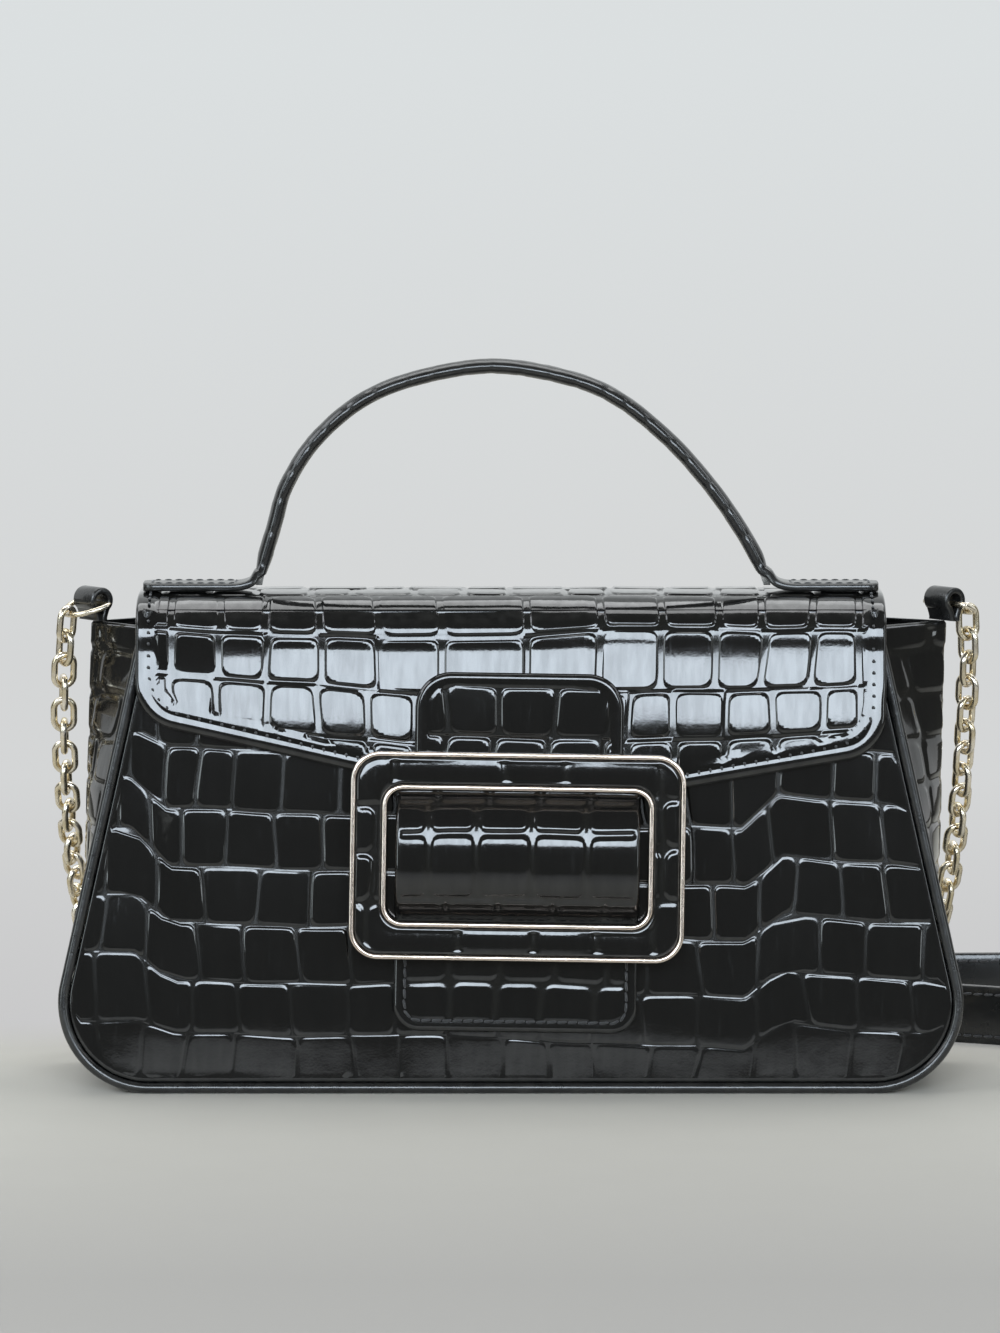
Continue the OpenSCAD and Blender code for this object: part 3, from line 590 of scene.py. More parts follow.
def framed_tiles(outline_at, insets, field, pitch=1.2):
    """Tiles cut to an outline, with a border of rings that follow it, from the rim inwards. Returns flat points,
    faces, how many of the first points are the rim, distance to the rim, and the tiles' height, groove and tone."""
    first = outline_at(0)
    lengths = np.linalg.norm(np.roll(first, -1, 0) - first, axis=1)
    rings = [dense(outline_at(inset), lengths, pitch) for inset in insets]
    points, faces, values = field
    size = len(rings[-1])
    inside, place = onto(rings[-1], points)
    points = np.where(inside[:, None], points, place[:, :2])
    faces = [face for face in faces if any(inside[q] for q in face)]
    loop = open_loop(faces, place[:, 2])
    at = np.maximum.accumulate(place[loop, 2])
    used = sorted({q for face in faces for q in face})
    base = size * (len(rings) - 1)
    number = {q: base + i for i, q in enumerate(used)}
    all_faces = []
    for ring in range(len(rings) - 2):
        all_faces += band(ring * size, (ring + 1) * size, size)
    outer = [base - size + i for i in range(size)] + [base - size]
    inner = [number[q] for q in loop] + [number[loop[0]]]
    all_faces += zip_lines(outer, inner, np.arange(size + 1), np.append(at, size + at[0]))
    all_faces += [[number[q] for q in face] for face in faces]
    flat = np.vstack(rings[:-1] + [points[used]])
    tiles = {key: np.append(np.zeros(base), value[used]) for key, value in values.items()}
    return {"x": flat[:, 0], "v": flat[:, 1], "d": distance_to(first, flat[:, 0], flat[:, 1]), "faces": all_faces,
            "rim": size, **tiles}


def tiled_shell(name, outer, inner, tiles, material, masks, one_back=False, mirrored=False):
    """A closed piece from framed tiles: its face, the walls round its rim and its back. It is mirrored where the
    tiles' second coordinate runs down the piece."""
    count, rim = len(outer), tiles["rim"]
    i = np.arange(rim)
    j = (i + 1) % rim
    faces = tiles["faces"] + np.stack([j, i, i + count, j + count], axis=-1).tolist()
    if one_back:
        inner = inner[:rim]
        faces.append((i[::-1] + count).tolist())
    else:
        faces += [[q + count for q in face[::-1]] for face in tiles["faces"]]
    if mirrored:
        faces = [face[::-1] for face in faces]
    return crisp(new_mesh(name, np.vstack([outer, inner]), faces, material, longer(masks, len(inner))))


def rounded_edge(d, r):
    """How far a rounded edge of radius r drops at distance d from the rim."""
    t = 1 - np.clip(d / r, 0, 1)
    return r * (1 - np.sqrt(1 - t * t))


# ---------------------------------------------------------------- materials
def fill(tree, socket, value):
    """Links the socket to another one, or sets it to a value."""
    if isinstance(value, bpy.types.NodeSocket):
        tree.links.new(value, socket)
    else:
        socket.default_value = value


def feed(tree, n, **inputs):
    """Fills a node's inputs by name; i0, i1 and so on are their numbers."""
    for key, value in inputs.items():
        numbered = key[0] == "i" and key[1:].isdigit()
        fill(tree, n.inputs[int(key[1:]) if numbered else key.replace("_", " ")], value)
    return n


def node(tree, kind, settings=None, **inputs):
    n = tree.nodes.new(kind)
    for key, value in (settings or {}).items():
        setattr(n, key, value)
    return feed(tree, n, **inputs)


def maths(tree, operation, *values):
    inputs = {f"i{k}": value for k, value in enumerate(values)}
    return node(tree, "ShaderNodeMath", {"operation": operation}, **inputs).outputs[0]


def ramp(tree, value, low, high, to_low=0.0, to_high=1.0, kind="LINEAR"):
    """Value from low to high, brought to between to_low and to_high."""
    return node(tree, "ShaderNodeMapRange", {"interpolation_type": kind}, Value=value, From_Min=low, From_Max=high,
                To_Min=to_low, To_Max=to_high).outputs["Result"]


def soft_ramp(tree, value, low, high):
    return ramp(tree, value, low, high, kind="SMOOTHSTEP")


def object_place(tree):
    return node(tree, "ShaderNodeTexCoord").outputs["Object"]


def noise(tree, place, scale, detail, **more):
    return node(tree, "ShaderNodeTexNoise", Vector=place, Scale=scale, Detail=detail, **more).outputs["Fac"]


def bump(tree, height, strength, distance, **more):
    return node(tree, "ShaderNodeBump", Strength=strength, Distance=distance, Height=height, **more).outputs["Normal"]


def new_group(name, kind, inputs, outputs):
    """A node group with its own sockets, given as (name, type) or (name, type, value)."""
    group = bpy.data.node_groups.new(name, kind)
    for way, sockets in (("INPUT", inputs), ("OUTPUT", outputs)):
        for key, socket_kind, *value in sockets:
            socket = group.interface.new_socket(key, in_out=way, socket_type="NodeSocket" + socket_kind)
            if value:
                socket.default_value = value[0]
    return group, group.nodes.new("NodeGroupInput"), group.nodes.new("NodeGroupOutput")


def make_grain_group():
    """Fine pores and slow waves of a leather surface, in object coordinates."""
    group, given, out = new_group(
        "leather_grain", "ShaderNodeTree",
        [("Pores", "Float", 1600.0), ("Pore depth", "Float", 0.06), ("Waves", "Float", 70.0),
         ("Wave depth", "Float", 0.4)],
        [("Normal", "Vector"), ("Mottle", "Float"), ("Scratches", "Float"), ("Streaks", "Float")],
    )
    place, pore_depth = object_place(group), given.outputs["Pore depth"]
    waves = noise(group, place, given.outputs["Waves"], 3.0, Roughness=0.5)
    pores = node(group, "ShaderNodeTexVoronoi", {"feature": "SMOOTH_F1"}, Vector=place,
                 Scale=given.outputs["Pores"], Smoothness=0.6).outputs["Distance"]
    normal = bump(group, waves, given.outputs["Wave depth"], 0.001)
    normal = bump(group, pores, pore_depth, 0.0002, Normal=normal)
    normal = bump(group, noise(group, place, 520.0, 4.0), pore_depth, 0.0003, Normal=normal)
    crossed = node(group, "ShaderNodeMapping", Vector=place, Scale=(900.0, 900.0, 60.0), Rotation=(0.3, 0.5, 0.2))
    drawn = node(group, "ShaderNodeMapping", Vector=place, Scale=(420.0, 420.0, 45.0))
    feed(group, out, Normal=normal, Mottle=waves,
         Scratches=ramp(group, noise(group, crossed.outputs["Vector"], 1.0, 2.0), 0.62, 0.74),
         Streaks=ramp(group, noise(group, drawn.outputs["Vector"], 1.0, 2.0), 0.35, 0.65))
    return group


def make_wear_group():
    """Where an edge is rubbed, from how sharply the surface turns."""
    group, given, out = new_group("edge_wear", "ShaderNodeTree", [("Spread", "Float", 0.06)], [("Mask", "Float")])
    turn = node(group, "ShaderNodeNewGeometry").outputs["Pointiness"]
    sharp = ramp(group, turn, 0.51, maths(group, "ADD", given.outputs["Spread"], 0.5))
    spots = ramp(group, noise(group, object_place(group), 260.0, 5.0), 0.4, 0.65)
    feed(group, out, Mask=maths(group, "MULTIPLY", sharp, spots))
    return group


GRAIN, WEAR = make_grain_group(), make_wear_group()


def blank_material(name):
    """An empty material, its tree and its output node."""
    material = bpy.data.materials.new(name)
    material.use_nodes = True
    tree = material.node_tree
    tree.nodes.clear()
    return material, tree, tree.nodes.new("ShaderNodeOutputMaterial")


def new_material(name):
    material, tree, out = blank_material(name)
    shader = tree.nodes.new("ShaderNodeBsdfPrincipled")
    feed(tree, out, Surface=shader.outputs[0])
    return material, tree, shader


def use_group(tree, group, **inputs):
    """A group's outputs, with the given values at its inputs."""
    n = tree.nodes.new("ShaderNodeGroup")
    n.node_tree = group
    return feed(tree, n, **inputs).outputs


def mixed(tree, factor, a, b):
    """Colour a where factor is 0 and b where it is 1."""
    n = node(tree, "ShaderNodeMix", {"data_type": "RGBA"}, Factor=factor)
    for socket, value in zip([s for s in n.inputs if s.type == "RGBA"], (a, b)):
        fill(tree, socket, value)
    return next(s for s in n.outputs if s.type == "RGBA")


def rubbed(tree, colour, bright):
    """The colour, with a bright one on rubbed edges."""
    return mixed(tree, use_group(tree, WEAR)["Mask"], colour, bright)


BLACK, GROOVE_BLACK, RUBBED = (0.0065, 0.0064, 0.0062, 1), (0.009, 0.0088, 0.008, 1), (0.03, 0.029, 0.027, 1)


def make_scale_leather(name, rough_low, rough_high, coat_low, coat_high, coat_rough):
    """Black leather with embossed scales: patent on the body, duller on the handle."""
    material, tree, shader = new_material(name)
    grain = use_group(tree, GRAIN, Wave_depth=0.09, Pore_depth=0.02)
    groove, tone, border = [node(tree, "ShaderNodeAttribute", {"attribute_name": key}).outputs["Fac"]
                            for key in ("groove", "tone", "border")]
    rough = ramp(tree, groove, 0.0, 1.0, rough_low, rough_high)
    for value, share in ((tone, 0.02), (grain["Mottle"], 0.04), (grain["Scratches"], 0.05), (border, 0.04)):
        rough = maths(tree, "MULTIPLY_ADD", value, share, rough)
    feed(tree, shader, Base_Color=rubbed(tree, mixed(tree, groove, BLACK, GROOVE_BLACK), RUBBED), Roughness=rough,
         Normal=grain["Normal"], IOR=1.5, Coat_Weight=ramp(tree, grain["Streaks"], 0.0, 1.0, coat_low, coat_high),
         Coat_Roughness=coat_rough)
    return material


def make_cloudy(name, sizes, dark, light, bright, rough_low, rough_high, scratches, **settings):
    """A smooth surface, cloudy in colour and gloss and scratched: plain leather or plated metal."""
    material, tree, shader = new_material(name)
    grain = use_group(tree, GRAIN, **sizes)
    colour = mixed(tree, grain["Mottle"], dark, light)
    rough = ramp(tree, grain["Mottle"], 0.0, 1.0, rough_low, rough_high)
    rough = maths(tree, "MULTIPLY_ADD", grain["Scratches"], scratches, rough)
    feed(tree, shader, Base_Color=rubbed(tree, colour, bright), Roughness=rough, Normal=grain["Normal"], **settings)
    return material


def make_plain_leather():
    """Smooth black leather of the piping, loops and strap."""
    sizes = dict(Pores=1300.0, Pore_depth=0.14, Waves=120.0, Wave_depth=0.2)
    return make_cloudy("plain_leather", sizes, (0.007, 0.0072, 0.0075, 1), (0.012, 0.012, 0.012, 1), RUBBED,
                       0.2, 0.36, 0.1, Coat_Weight=0.4, Coat_Roughness=0.08)


def make_gold(name, dark, light, rough_low, rough_high):
    """Gold plating, polished, with faint marks."""
    sizes = dict(Pores=900.0, Pore_depth=0.03, Waves=160.0, Wave_depth=0.06)
    return make_cloudy(name, sizes, dark, light, (0.95, 0.88, 0.78, 1), rough_low, rough_high, 0.15, Metallic=1.0)


def make_thread():
    """Waxed black thread, with its twist."""
    material, tree, shader = new_material("thread")
    twist = node(tree, "ShaderNodeTexWave", Vector=object_place(tree), Scale=900.0, Distortion=1.5).outputs["Fac"]
    feed(tree, shader, Base_Color=mixed(tree, twist, (0.012, 0.012, 0.013, 1), (0.035, 0.035, 0.037, 1)),
         Normal=bump(tree, twist, 0.5, 0.0002), Roughness=0.42, Sheen_Weight=0.3)
    return material


def make_weave(name, dark, light, threads):
    """Woven cloth: two sets of threads at right angles."""
    material, tree, shader = new_material(name)
    place = object_place(tree)
    warp, weft = [node(tree, "ShaderNodeTexWave", {"bands_direction": way}, Vector=place, Scale=threads,
                       Distortion=0.6).outputs["Fac"] for way in ("X", "Z")]
    both = maths(tree, "MULTIPLY", warp, weft)
    shade = maths(tree, "MULTIPLY", both, noise(tree, place, 45.0, 3.0))
    feed(tree, shader, Base_Color=mixed(tree, shade, dark, light), Normal=bump(tree, both, 0.4, 0.0003),
         Roughness=0.85, Sheen_Weight=0.2)
    return material


def make_board():
    """Pressed fibre board, mottled."""
    material, tree, shader = new_material("fibre_board")
    fibres = noise(tree, object_place(tree), 700.0, 6.0, Distortion=1.2)
    feed(tree, shader, Base_Color=mixed(tree, fibres, (0.2, 0.18, 0.15, 1), (0.32, 0.3, 0.26, 1)),
         Normal=bump(tree, fibres, 0.3, 0.0002), Roughness=0.9)
    return material


def make_magnet():
    """Nickel plated steel."""
    material, tree, shader = new_material("nickel")
    grain = use_group(tree, GRAIN, Pores=800.0, Pore_depth=0.05, Waves=200.0, Wave_depth=0.05)
    feed(tree, shader, Base_Color=mixed(tree, grain["Scratches"], (0.6, 0.6, 0.62, 1), (0.75, 0.75, 0.76, 1)),
         Roughness=ramp(tree, grain["Mottle"], 0.0, 1.0, 0.18, 0.34), Normal=grain["Normal"], Metallic=1.0)
    return material


SCALE_LEATHER = make_scale_leather("scale_leather", 0.05, 0.09, 0.42, 0.72, 0.03)
PANEL_LEATHER = make_scale_leather("panel_leather", 0.06, 0.2, 0.42, 0.72, 0.06)
HANDLE_LEATHER = make_scale_leather("handle_leather", 0.26, 0.3, 0.4, 0.7, 0.2)
PLAIN_LEATHER, THREAD = make_plain_leather(), make_thread()
GOLD = make_gold("pale_gold", (0.8, 0.655, 0.55, 1), (0.88, 0.755, 0.66, 1), 0.12, 0.24)
CHAIN_GOLD = make_gold("chain_gold", (0.66, 0.56, 0.38, 1), (0.78, 0.69, 0.5, 1), 0.2, 0.32)
LINING = make_weave("lining_cloth", (0.012, 0.011, 0.011, 1), (0.05, 0.045, 0.044, 1), 300.0)
PADDING = make_weave("wadding", (0.3, 0.29, 0.27, 1), (0.62, 0.6, 0.56, 1), 160.0)
BOARD, NICKEL = make_board(), make_magnet()


# ---------------------------------------------------------------- repeated pieces
def make_repeat_tree():
    """Geometry nodes: one piece at every point, turned by the points' own attribute."""
    tree, given, out = new_group(
        "repeat_piece", "GeometryNodeTree",
        [("Points", "Geometry"), ("Piece", "Object"), ("Material", "Material")], [("Result", "Geometry")],
    )
    info = node(tree, "GeometryNodeObjectInfo", Object=given.outputs["Piece"])
    turn = node(tree, "GeometryNodeInputNamedAttribute", {"data_type": "FLOAT_VECTOR"}, Name="turn")
    rotation = node(tree, "FunctionNodeEulerToRotation", i0=turn.outputs["Attribute"])
    placed = node(tree, "GeometryNodeInstanceOnPoints", Points=given.outputs["Points"],
                  Instance=info.outputs["Geometry"], Rotation=rotation.outputs[0])
    real = node(tree, "GeometryNodeRealizeInstances", Geometry=placed.outputs["Instances"])
    painted = node(tree, "GeometryNodeSetMaterial", Geometry=real.outputs["Geometry"],
                   Material=given.outputs["Material"])
    feed(tree, out, Result=painted.outputs["Geometry"])
    return tree


REPEAT = make_repeat_tree()


def repeat(name, unit, points, frames, material):
    """The unit piece at each point. A frame's columns are where the unit's own three directions go."""
    mesh = bpy.data.meshes.new(name + "_points")
    mesh.from_pydata((np.asarray(points) * MM).tolist(), [], [])
    turns = np.array([Matrix(m.tolist()).to_euler("XYZ")[:] for m in frames], np.float32)
    mesh.attributes.new("turn", "FLOAT_VECTOR", "POINT").data.foreach_set("vector", turns.ravel())
    carrier = link_object(name + "_points", mesh)
    modifier = carrier.modifiers.new("repeat", "NODES")
    modifier.node_group = REPEAT
    sockets = {s.name: s.identifier for s in REPEAT.interface.items_tree if s.in_out == "INPUT"}
    modifier[sockets["Piece"]] = unit
    modifier[sockets["Material"]] = material
    bpy.context.view_layer.update()
    made = bpy.data.meshes.new_from_object(carrier.evaluated_get(bpy.context.evaluated_depsgraph_get()))
    made.name = piece_name(name)
    made.shade_smooth()
    bpy.data.objects.remove(carrier)
    return link_object(made.name, made)


def unit_stitch():
    """One stitch, fat in the middle and sinking in at both ends."""
    length, radius, rings, rise, sink = 2.5, 0.36, 9, 0.3, 0.12
    s = np.linspace(-1, 1, rings)
    path = np.stack([s * length / 2, 0.12 * s, rise * (1 - s ** 2) - sink], axis=-1)
    fat = np.sqrt(np.clip(1 - 0.75 * s ** 4, 0.05, 1))
    sections = oval(radius, radius * 0.8, 8)[None] * fat[:, None, None]
    return sweep("stitch", path, (0, 1, 0), sections, THREAD)


def stitch_frames(line, up, closed=False):
    t = directions(line, closed)
    up = np.broadcast_to(np.asarray(up, float), line.shape)
    side = np.cross(up, t)
    side /= np.linalg.norm(side, axis=1, keepdims=True)
    return np.stack([t, side, np.cross(t, side)], axis=-1)


STITCH = unit_stitch()


def finish_piece(piece, body, slot, *replaced):
    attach(piece, body)
    if replaced:
        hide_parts(*replaced)
    return piece


# ---------------------------------------------------------------- camera
CAMERA_DISTANCE, CAMERA_TILT = 1.8, math.radians(5.5)
PIXEL, PICTURE_W, SENSOR_W = 0.000274, 1000, 36  # metres at the target, pixels, millimetres
TARGET = Vector((-0.003, -0.03, 0.1185))


def make_camera():
    scene = bpy.context.scene
    data = bpy.data.cameras.new("camera")
    camera = link_object("camera", data)
    data.sensor_fit = "HORIZONTAL"
    data.sensor_width = SENSOR_W
    data.lens = data.sensor_width * CAMERA_DISTANCE / (PICTURE_W * PIXEL)
    camera.location = TARGET + CAMERA_DISTANCE * Vector((0, -math.cos(CAMERA_TILT), math.sin(CAMERA_TILT)))
    camera.rotation_euler = (math.pi / 2 - CAMERA_TILT, 0, 0)
    scene.camera = camera
    scene.view_settings.view_transform = "Standard"


make_camera()


# ---------------------------------------------------------------- shoulder strap: cords first
def link_unit():
    """One chain link: a wire bent into a long oval, flat in its own plane."""
    bow = (LINK_W - LINK_D) / 2
    bar = (LINK_L - LINK_W) / 2
    a = np.linspace(-math.pi / 2, math.pi / 2, 14)
    right = np.stack([bar + bow * np.cos(a), bow * np.sin(a)], axis=-1)
    line = np.vstack([right, -right])
    path = np.column_stack([line, np.zeros(len(line))])
    return sweep("link", path, (0, 0, 1), oval(LINK_D / 2, LINK_D / 2, 12), CHAIN_GOLD, closed=True)


def chain_places(points, roll):
    """Places and directions of the links, as in the CAD model, and the line they follow."""
    line = spline(points, 8)
    total = run_lengths(line)[-1]
    count = math.ceil(total / LINK_SPACING)
    last = 90 * ((count + 1) % 2)
    s = total * np.arange(count + 1) / count
    places = along(line, s)
    t = along(line, np.minimum(s + LINK_SPACING / 2, total)) - along(line, np.maximum(s - LINK_SPACING / 2, 0))
    t /= np.linalg.norm(t, axis=1, keepdims=True)
    frames = []
    for i, d in enumerate(t):
        turn = math.radians(roll + (last - roll) * i / count + 90 * (i % 2))
        m = (Matrix.Rotation(math.atan2(d[1], d[0]), 3, "Z") @ Matrix.Rotation(-math.asin(d[2]), 3, "Y")
             @ Matrix.Rotation(turn, 3, "X"))
        frames.append(np.array(m))
    return places, frames, line


def make_chain(name, points, roll, unit):
    places, frames, line = chain_places(points, roll)
    chain = repeat(name, unit, places, frames, CHAIN_GOLD)
    finish_piece(chain, "bag", "gold_metal", name)


def gold_ring(name, path, across):
    """A closed ring of gold wire along a path."""
    ring = sweep(name, path, across, oval(RING_D / 2, RING_D / 2, WIRE_SIDES), CHAIN_GOLD, closed=True)
    return finish_piece(ring, "bag", "gold_metal", name)


def make_d_ring(name, side):
    a = np.linspace(0, math.pi, 28)
    bow = np.stack([D_RING_R * np.cos(a), D_RING_R * np.sin(a), 0 * a], axis=-1)
    soft = 1.1
    bar = np.stack([np.linspace(-D_RING_R + soft, D_RING_R - soft, 14), np.zeros(14), np.zeros(14)], axis=-1)
    local = evenly(np.vstack([bow, bar]), 0.7, closed=True)
    turn = (Matrix.Rotation(LOOP_TURN, 3, "Z") @ Matrix.Rotation(side * D_RING_DROP, 3, "Y")
            @ Matrix.Rotation(-side * math.pi / 2, 3, "Z"))
    m = np.array(turn)
    return gold_ring(name, local @ m.T + np.array((loop_x(side), 0, D_RING_Z)), m[:, 2])


def make_strap_ring(name, end, t):
    a = np.arange(40) * TURN / 40
    c = end + (STRAP_HOLE_IN - STRAP_RING_R) * t
    path = np.stack([c[0] + STRAP_RING_R * np.cos(a), c[1] + STRAP_RING_R * np.sin(a), np.full(40, STRAP_W / 2)],
                    axis=-1)
    return gold_ring(name, path, (0, 0, 1))


def make_strap():
    """Two leathers sewn back to back, standing on their edge, with stitches along both edges of both faces."""
    round_end, margin = 6.5, 2.4
    ground = spline(STRAP, 12)
    line = evenly(np.column_stack([ground, np.full(len(ground), STRAP_W / 2)]), 2.0)
    s = run_lengths(line)
    end = np.minimum(s, s[-1] - s)
    half = STRAP_W / 2 * (0.58 + 0.42 * np.sqrt(np.clip(end / round_end, 0, 1)))
    sections = np.repeat(soft_box(2, STRAP_T, 0.9, 4)[None], len(line), 0)
    sections[..., 0] *= half[:, None] * 0.999
    sections[..., 1] *= 0.82 + 0.18 * smooth(0.55, 0.9, np.abs(sections[..., 0]) / half[:, None])
    strap = sweep("shoulder_strap", line, (0, 0, 1), sections, PLAIN_LEATHER)
    finish_piece(strap, "bag", "smooth_leather", "shoulder_strap")
    side = np.cross(directions(line), (0, 0, 1))
    rows = []
    for face in (-1, 1):
        for edge in (-1, 1):
            row = line[2:-2] + face * STRAP_T / 2 * side[2:-2] + np.array((0, 0, edge * (STRAP_W / 2 - margin)))
            points = evenly(row, STITCH_PITCH)
            normals = np.cross(directions(points), (0, 0, 1)) * face
            rows.append(repeat(f"strap_stitches_{len(rows)}", STITCH, points, stitch_frames(points, normals), THREAD))
    for row in rows:
        row.parent = strap


def make_shoulder_strap():
    unit = link_unit()
    rings = [make_d_ring("d_ring_left", -1), make_d_ring("d_ring_right", 1)]
    ends = spline(STRAP, 3)
    t = directions(ends)
    small = [make_strap_ring("strap_ring_left", ends[0], t[0]), make_strap_ring("strap_ring_right", ends[-1], -t[-1])]
    make_strap()
    make_chain("chain_left", CHAIN_LEFT, CHAIN_LEFT_ROLL, unit)
    make_chain("chain_right", CHAIN_RIGHT, CHAIN_RIGHT_ROLL, unit)
    bpy.data.objects.remove(unit)


make_shoulder_strap()


# ---------------------------------------------------------------- panels
def panel_grid(inset, top, step):
    """Grid over the panel's outline, finer where the bottom corners are round."""
    r = CORNER_R - inset
    bend = inset + r * (1 - np.cos(np.linspace(0, math.pi / 2, 30)))
    v = np.concatenate([bend, np.linspace(CORNER_R, top, int((top - CORNER_R) / step) + 1)[1:]])
    half = np.where(v < CORNER_R + r * math.sin(SIDE_ANGLE),
                    CORNER_X + np.sqrt(np.maximum(r * r - (CORNER_R - v) ** 2, 0)), side_x(inset, v))
    share = np.linspace(-1, 1, int(2 * (CORNER_X + r) / step))
    return share[None] * half[:, None], np.repeat(v[:, None], len(share), 1)


PANEL_TILES = dict(gap=0.25, shoulder=0.7, round=2.2, depth=0.3, crown=0.1, lean=0.008)
PANEL_EDGE = (0, 0.12, 0.3, 0.6, 1.1, 1.7)
PANEL_KNOTS = (-128, -104, -94, 64, 75, 128)
PANEL_LINES = [(-12, -14, -6), (2, 1, 11), (17.5, 14.5, 28), (36.4, 28.6, 42.5), (52.3, 44.2, 57.8), (69.9, 59.6, 73.5),
               (84.4, 75.3, 90), (97, 92, 104), (112, 107, 118), (128, 122, 132), (145, 142, 150)]
PANEL_JOINTS = [
    (-128, -117, -103, -91.8, -76.6, -60.9, -44.3, -31, -17, -3, 11, 24, 38, 51.6, 66.5, 77.8, 92.7, 107.3, 128),
    (-130, -115, -102.5, -90.8, -76.6, -60.9, -44.3, -31, -17, -3, 11, 24, 38, 51.6, 66.5, 77.8, 92.7, 107.3, 128),
    (-130, -114.6, -101.4, -88.7, -75.2, -60.9, -45.7, -32, -18, -4, 9, 23, 37, 51.6, 66.5, 81, 95.7, 110, 128),
    (-128, -112.5, -100, -86.3, -72.7, -58.1, -44, -31, -17, -3, 11, 24, 38, 52, 67.3, 83.9, 98.5, 114, 128),
    (-128, -111.6, -98, -84.3, -69.2, -55.4, -42, -28, -15, -1, 13, 26, 42, 55.7, 68.5, 78.3, 90.2, 103.1, 117, 130),
    (-120, -106.5, -98, -90.4, -78, -64.2, -51.5, -38, -24, -11, 3, 17, 31, 49.9, 60.4, 71, 89.4, 104, 118, 130),
    (-120, -104, -95, -86.2, -74.9, -61.7, -47.1, -33, -19, -5, 9, 23, 36, 49, 62, 75.6, 89, 102.6, 116, 128),
    (-128, -115, -98, -86, -72, -58, -44, -30, -17, -3, 12, 25, 39, 54, 70, 84, 97, 110, 128),
    (-128, -112, -99, -86, -72, -58, -44, -30, -17, -3, 12, 25, 39, 54, 68, 82, 96, 110, 128),
    (-128, -112, -99, -86, -72, -58, -44, -30, -17, -3, 12, 25, 39, 54, 68, 82, 96, 110, 128),
]


def panel_lines():
    """The rows' borders of the front panel at its knots: level on the left, falling to the right, with the
    steps that the photo shows near both sides."""
    x = np.array(PANEL_KNOTS)
    slope = np.array((-0.03, -0.03, -0.03, -0.03, -0.1, -0.1))
    return [np.array((left, left, middle, middle, right, right)) + x * slope for left, middle, right in PANEL_LINES]


def panel_swell(x, v, d, bulge):
    """How far a panel's middle stands back from its padded edge, with slow waves."""
    pillow = 1 - smooth(0, 26, d)
    waves = 0.1 * (np.sin(x / 23 + v / 31) + np.sin(x / 13 - v / 19 + 1.7))
    return -0.32 - bulge * pillow ** 2 + waves * smooth(2, 20, d)


def make_front_panel():
    """Embossed tiles set from the photo. The panel is thinner under the flap, where the flap lies on it."""
    def outline_at(inset):
        return body_outline(PANEL_INSET + inset, PANEL_V - inset)[::-1]

    field = tile_field(110, PANEL_KNOTS, panel_lines(), PANEL_JOINTS, PANEL_TILES)
    tiles = framed_tiles(outline_at, PANEL_EDGE, field)
    x, v, d = tiles["x"], tiles["v"], tiles["d"]
    pressed = 0.28 + 0.72 * smooth(24, 50, v)  # the lowest rows are flatter
    amount = smooth(0.8, 3.2, d) * pressed
    under_flap = 1.1 * smooth(121, 130, v)
    height = panel_swell(x, v, d, 0.5) + tiles["height"] * amount - rounded_edge(d, 0.7) - under_flap
    masks = make_masks(tiles["groove"] * amount, tiles["tone"], 1 - smooth(0.5, 1.6, d))
    panel = tiled_shell("front_panel", front(x, v, height), front(x, v, np.full(x.shape, -PANEL_T)), tiles,
                        PANEL_LEATHER, masks, one_back=True)
    finish_piece(panel, "bag", "embossed_leather", "front_panel")


def make_back_panel():
    x, v = panel_grid(PANEL_INSET, PANEL_V, 0.85)
    d = distance_to(body_outline(PANEL_INSET, PANEL_V), x, v)
    lines = [-6, 13, 26, 38.5, 51, 63, 75.5, 88, 100, 112.5, 125, 138]
    s = scales(scale_pattern(230, lines, -130, 130, 12.8, slope=0.02), x, v)
    field = smooth(0.4, 3.2, d)
    depth = field * (0.45 + 0.3 * smooth(18, 50, v))
    height = panel_swell(x, v, d, 0.6) + emboss(s, depth) - rounded_edge(d, 0.7)
    masks = make_masks(s["groove"] * field, s["tone"], 1 - smooth(0.5, 1.6, d))
    panel = flat_shell("back_panel", back, x, v, height, -PANEL_T, SCALE_LEATHER, masks, True)
    finish_piece(panel, "bag", "embossed_leather", "back_panel")


def make_piping(name, place):
    line = evenly(body_outline(PIPING_R, PANEL_V, 40), 1.0)
    path = place(line[:, 0], line[:, 1], np.full(len(line), -PIPING_R))
    s = run_lengths(path)
    fat = 0.985 + 0.015 * np.sin(s / 2.3) * np.sin(s / 7.1 + 1)
    fat[:2] *= 0.97
    sections = oval(PIPING_R, PIPING_R, WIRE_SIDES)[None] * fat[:, None, None]
    piping = sweep(name, path, outward(place), sections, PLAIN_LEATHER)
    finish_piece(piping, "bag", "smooth_leather", name)


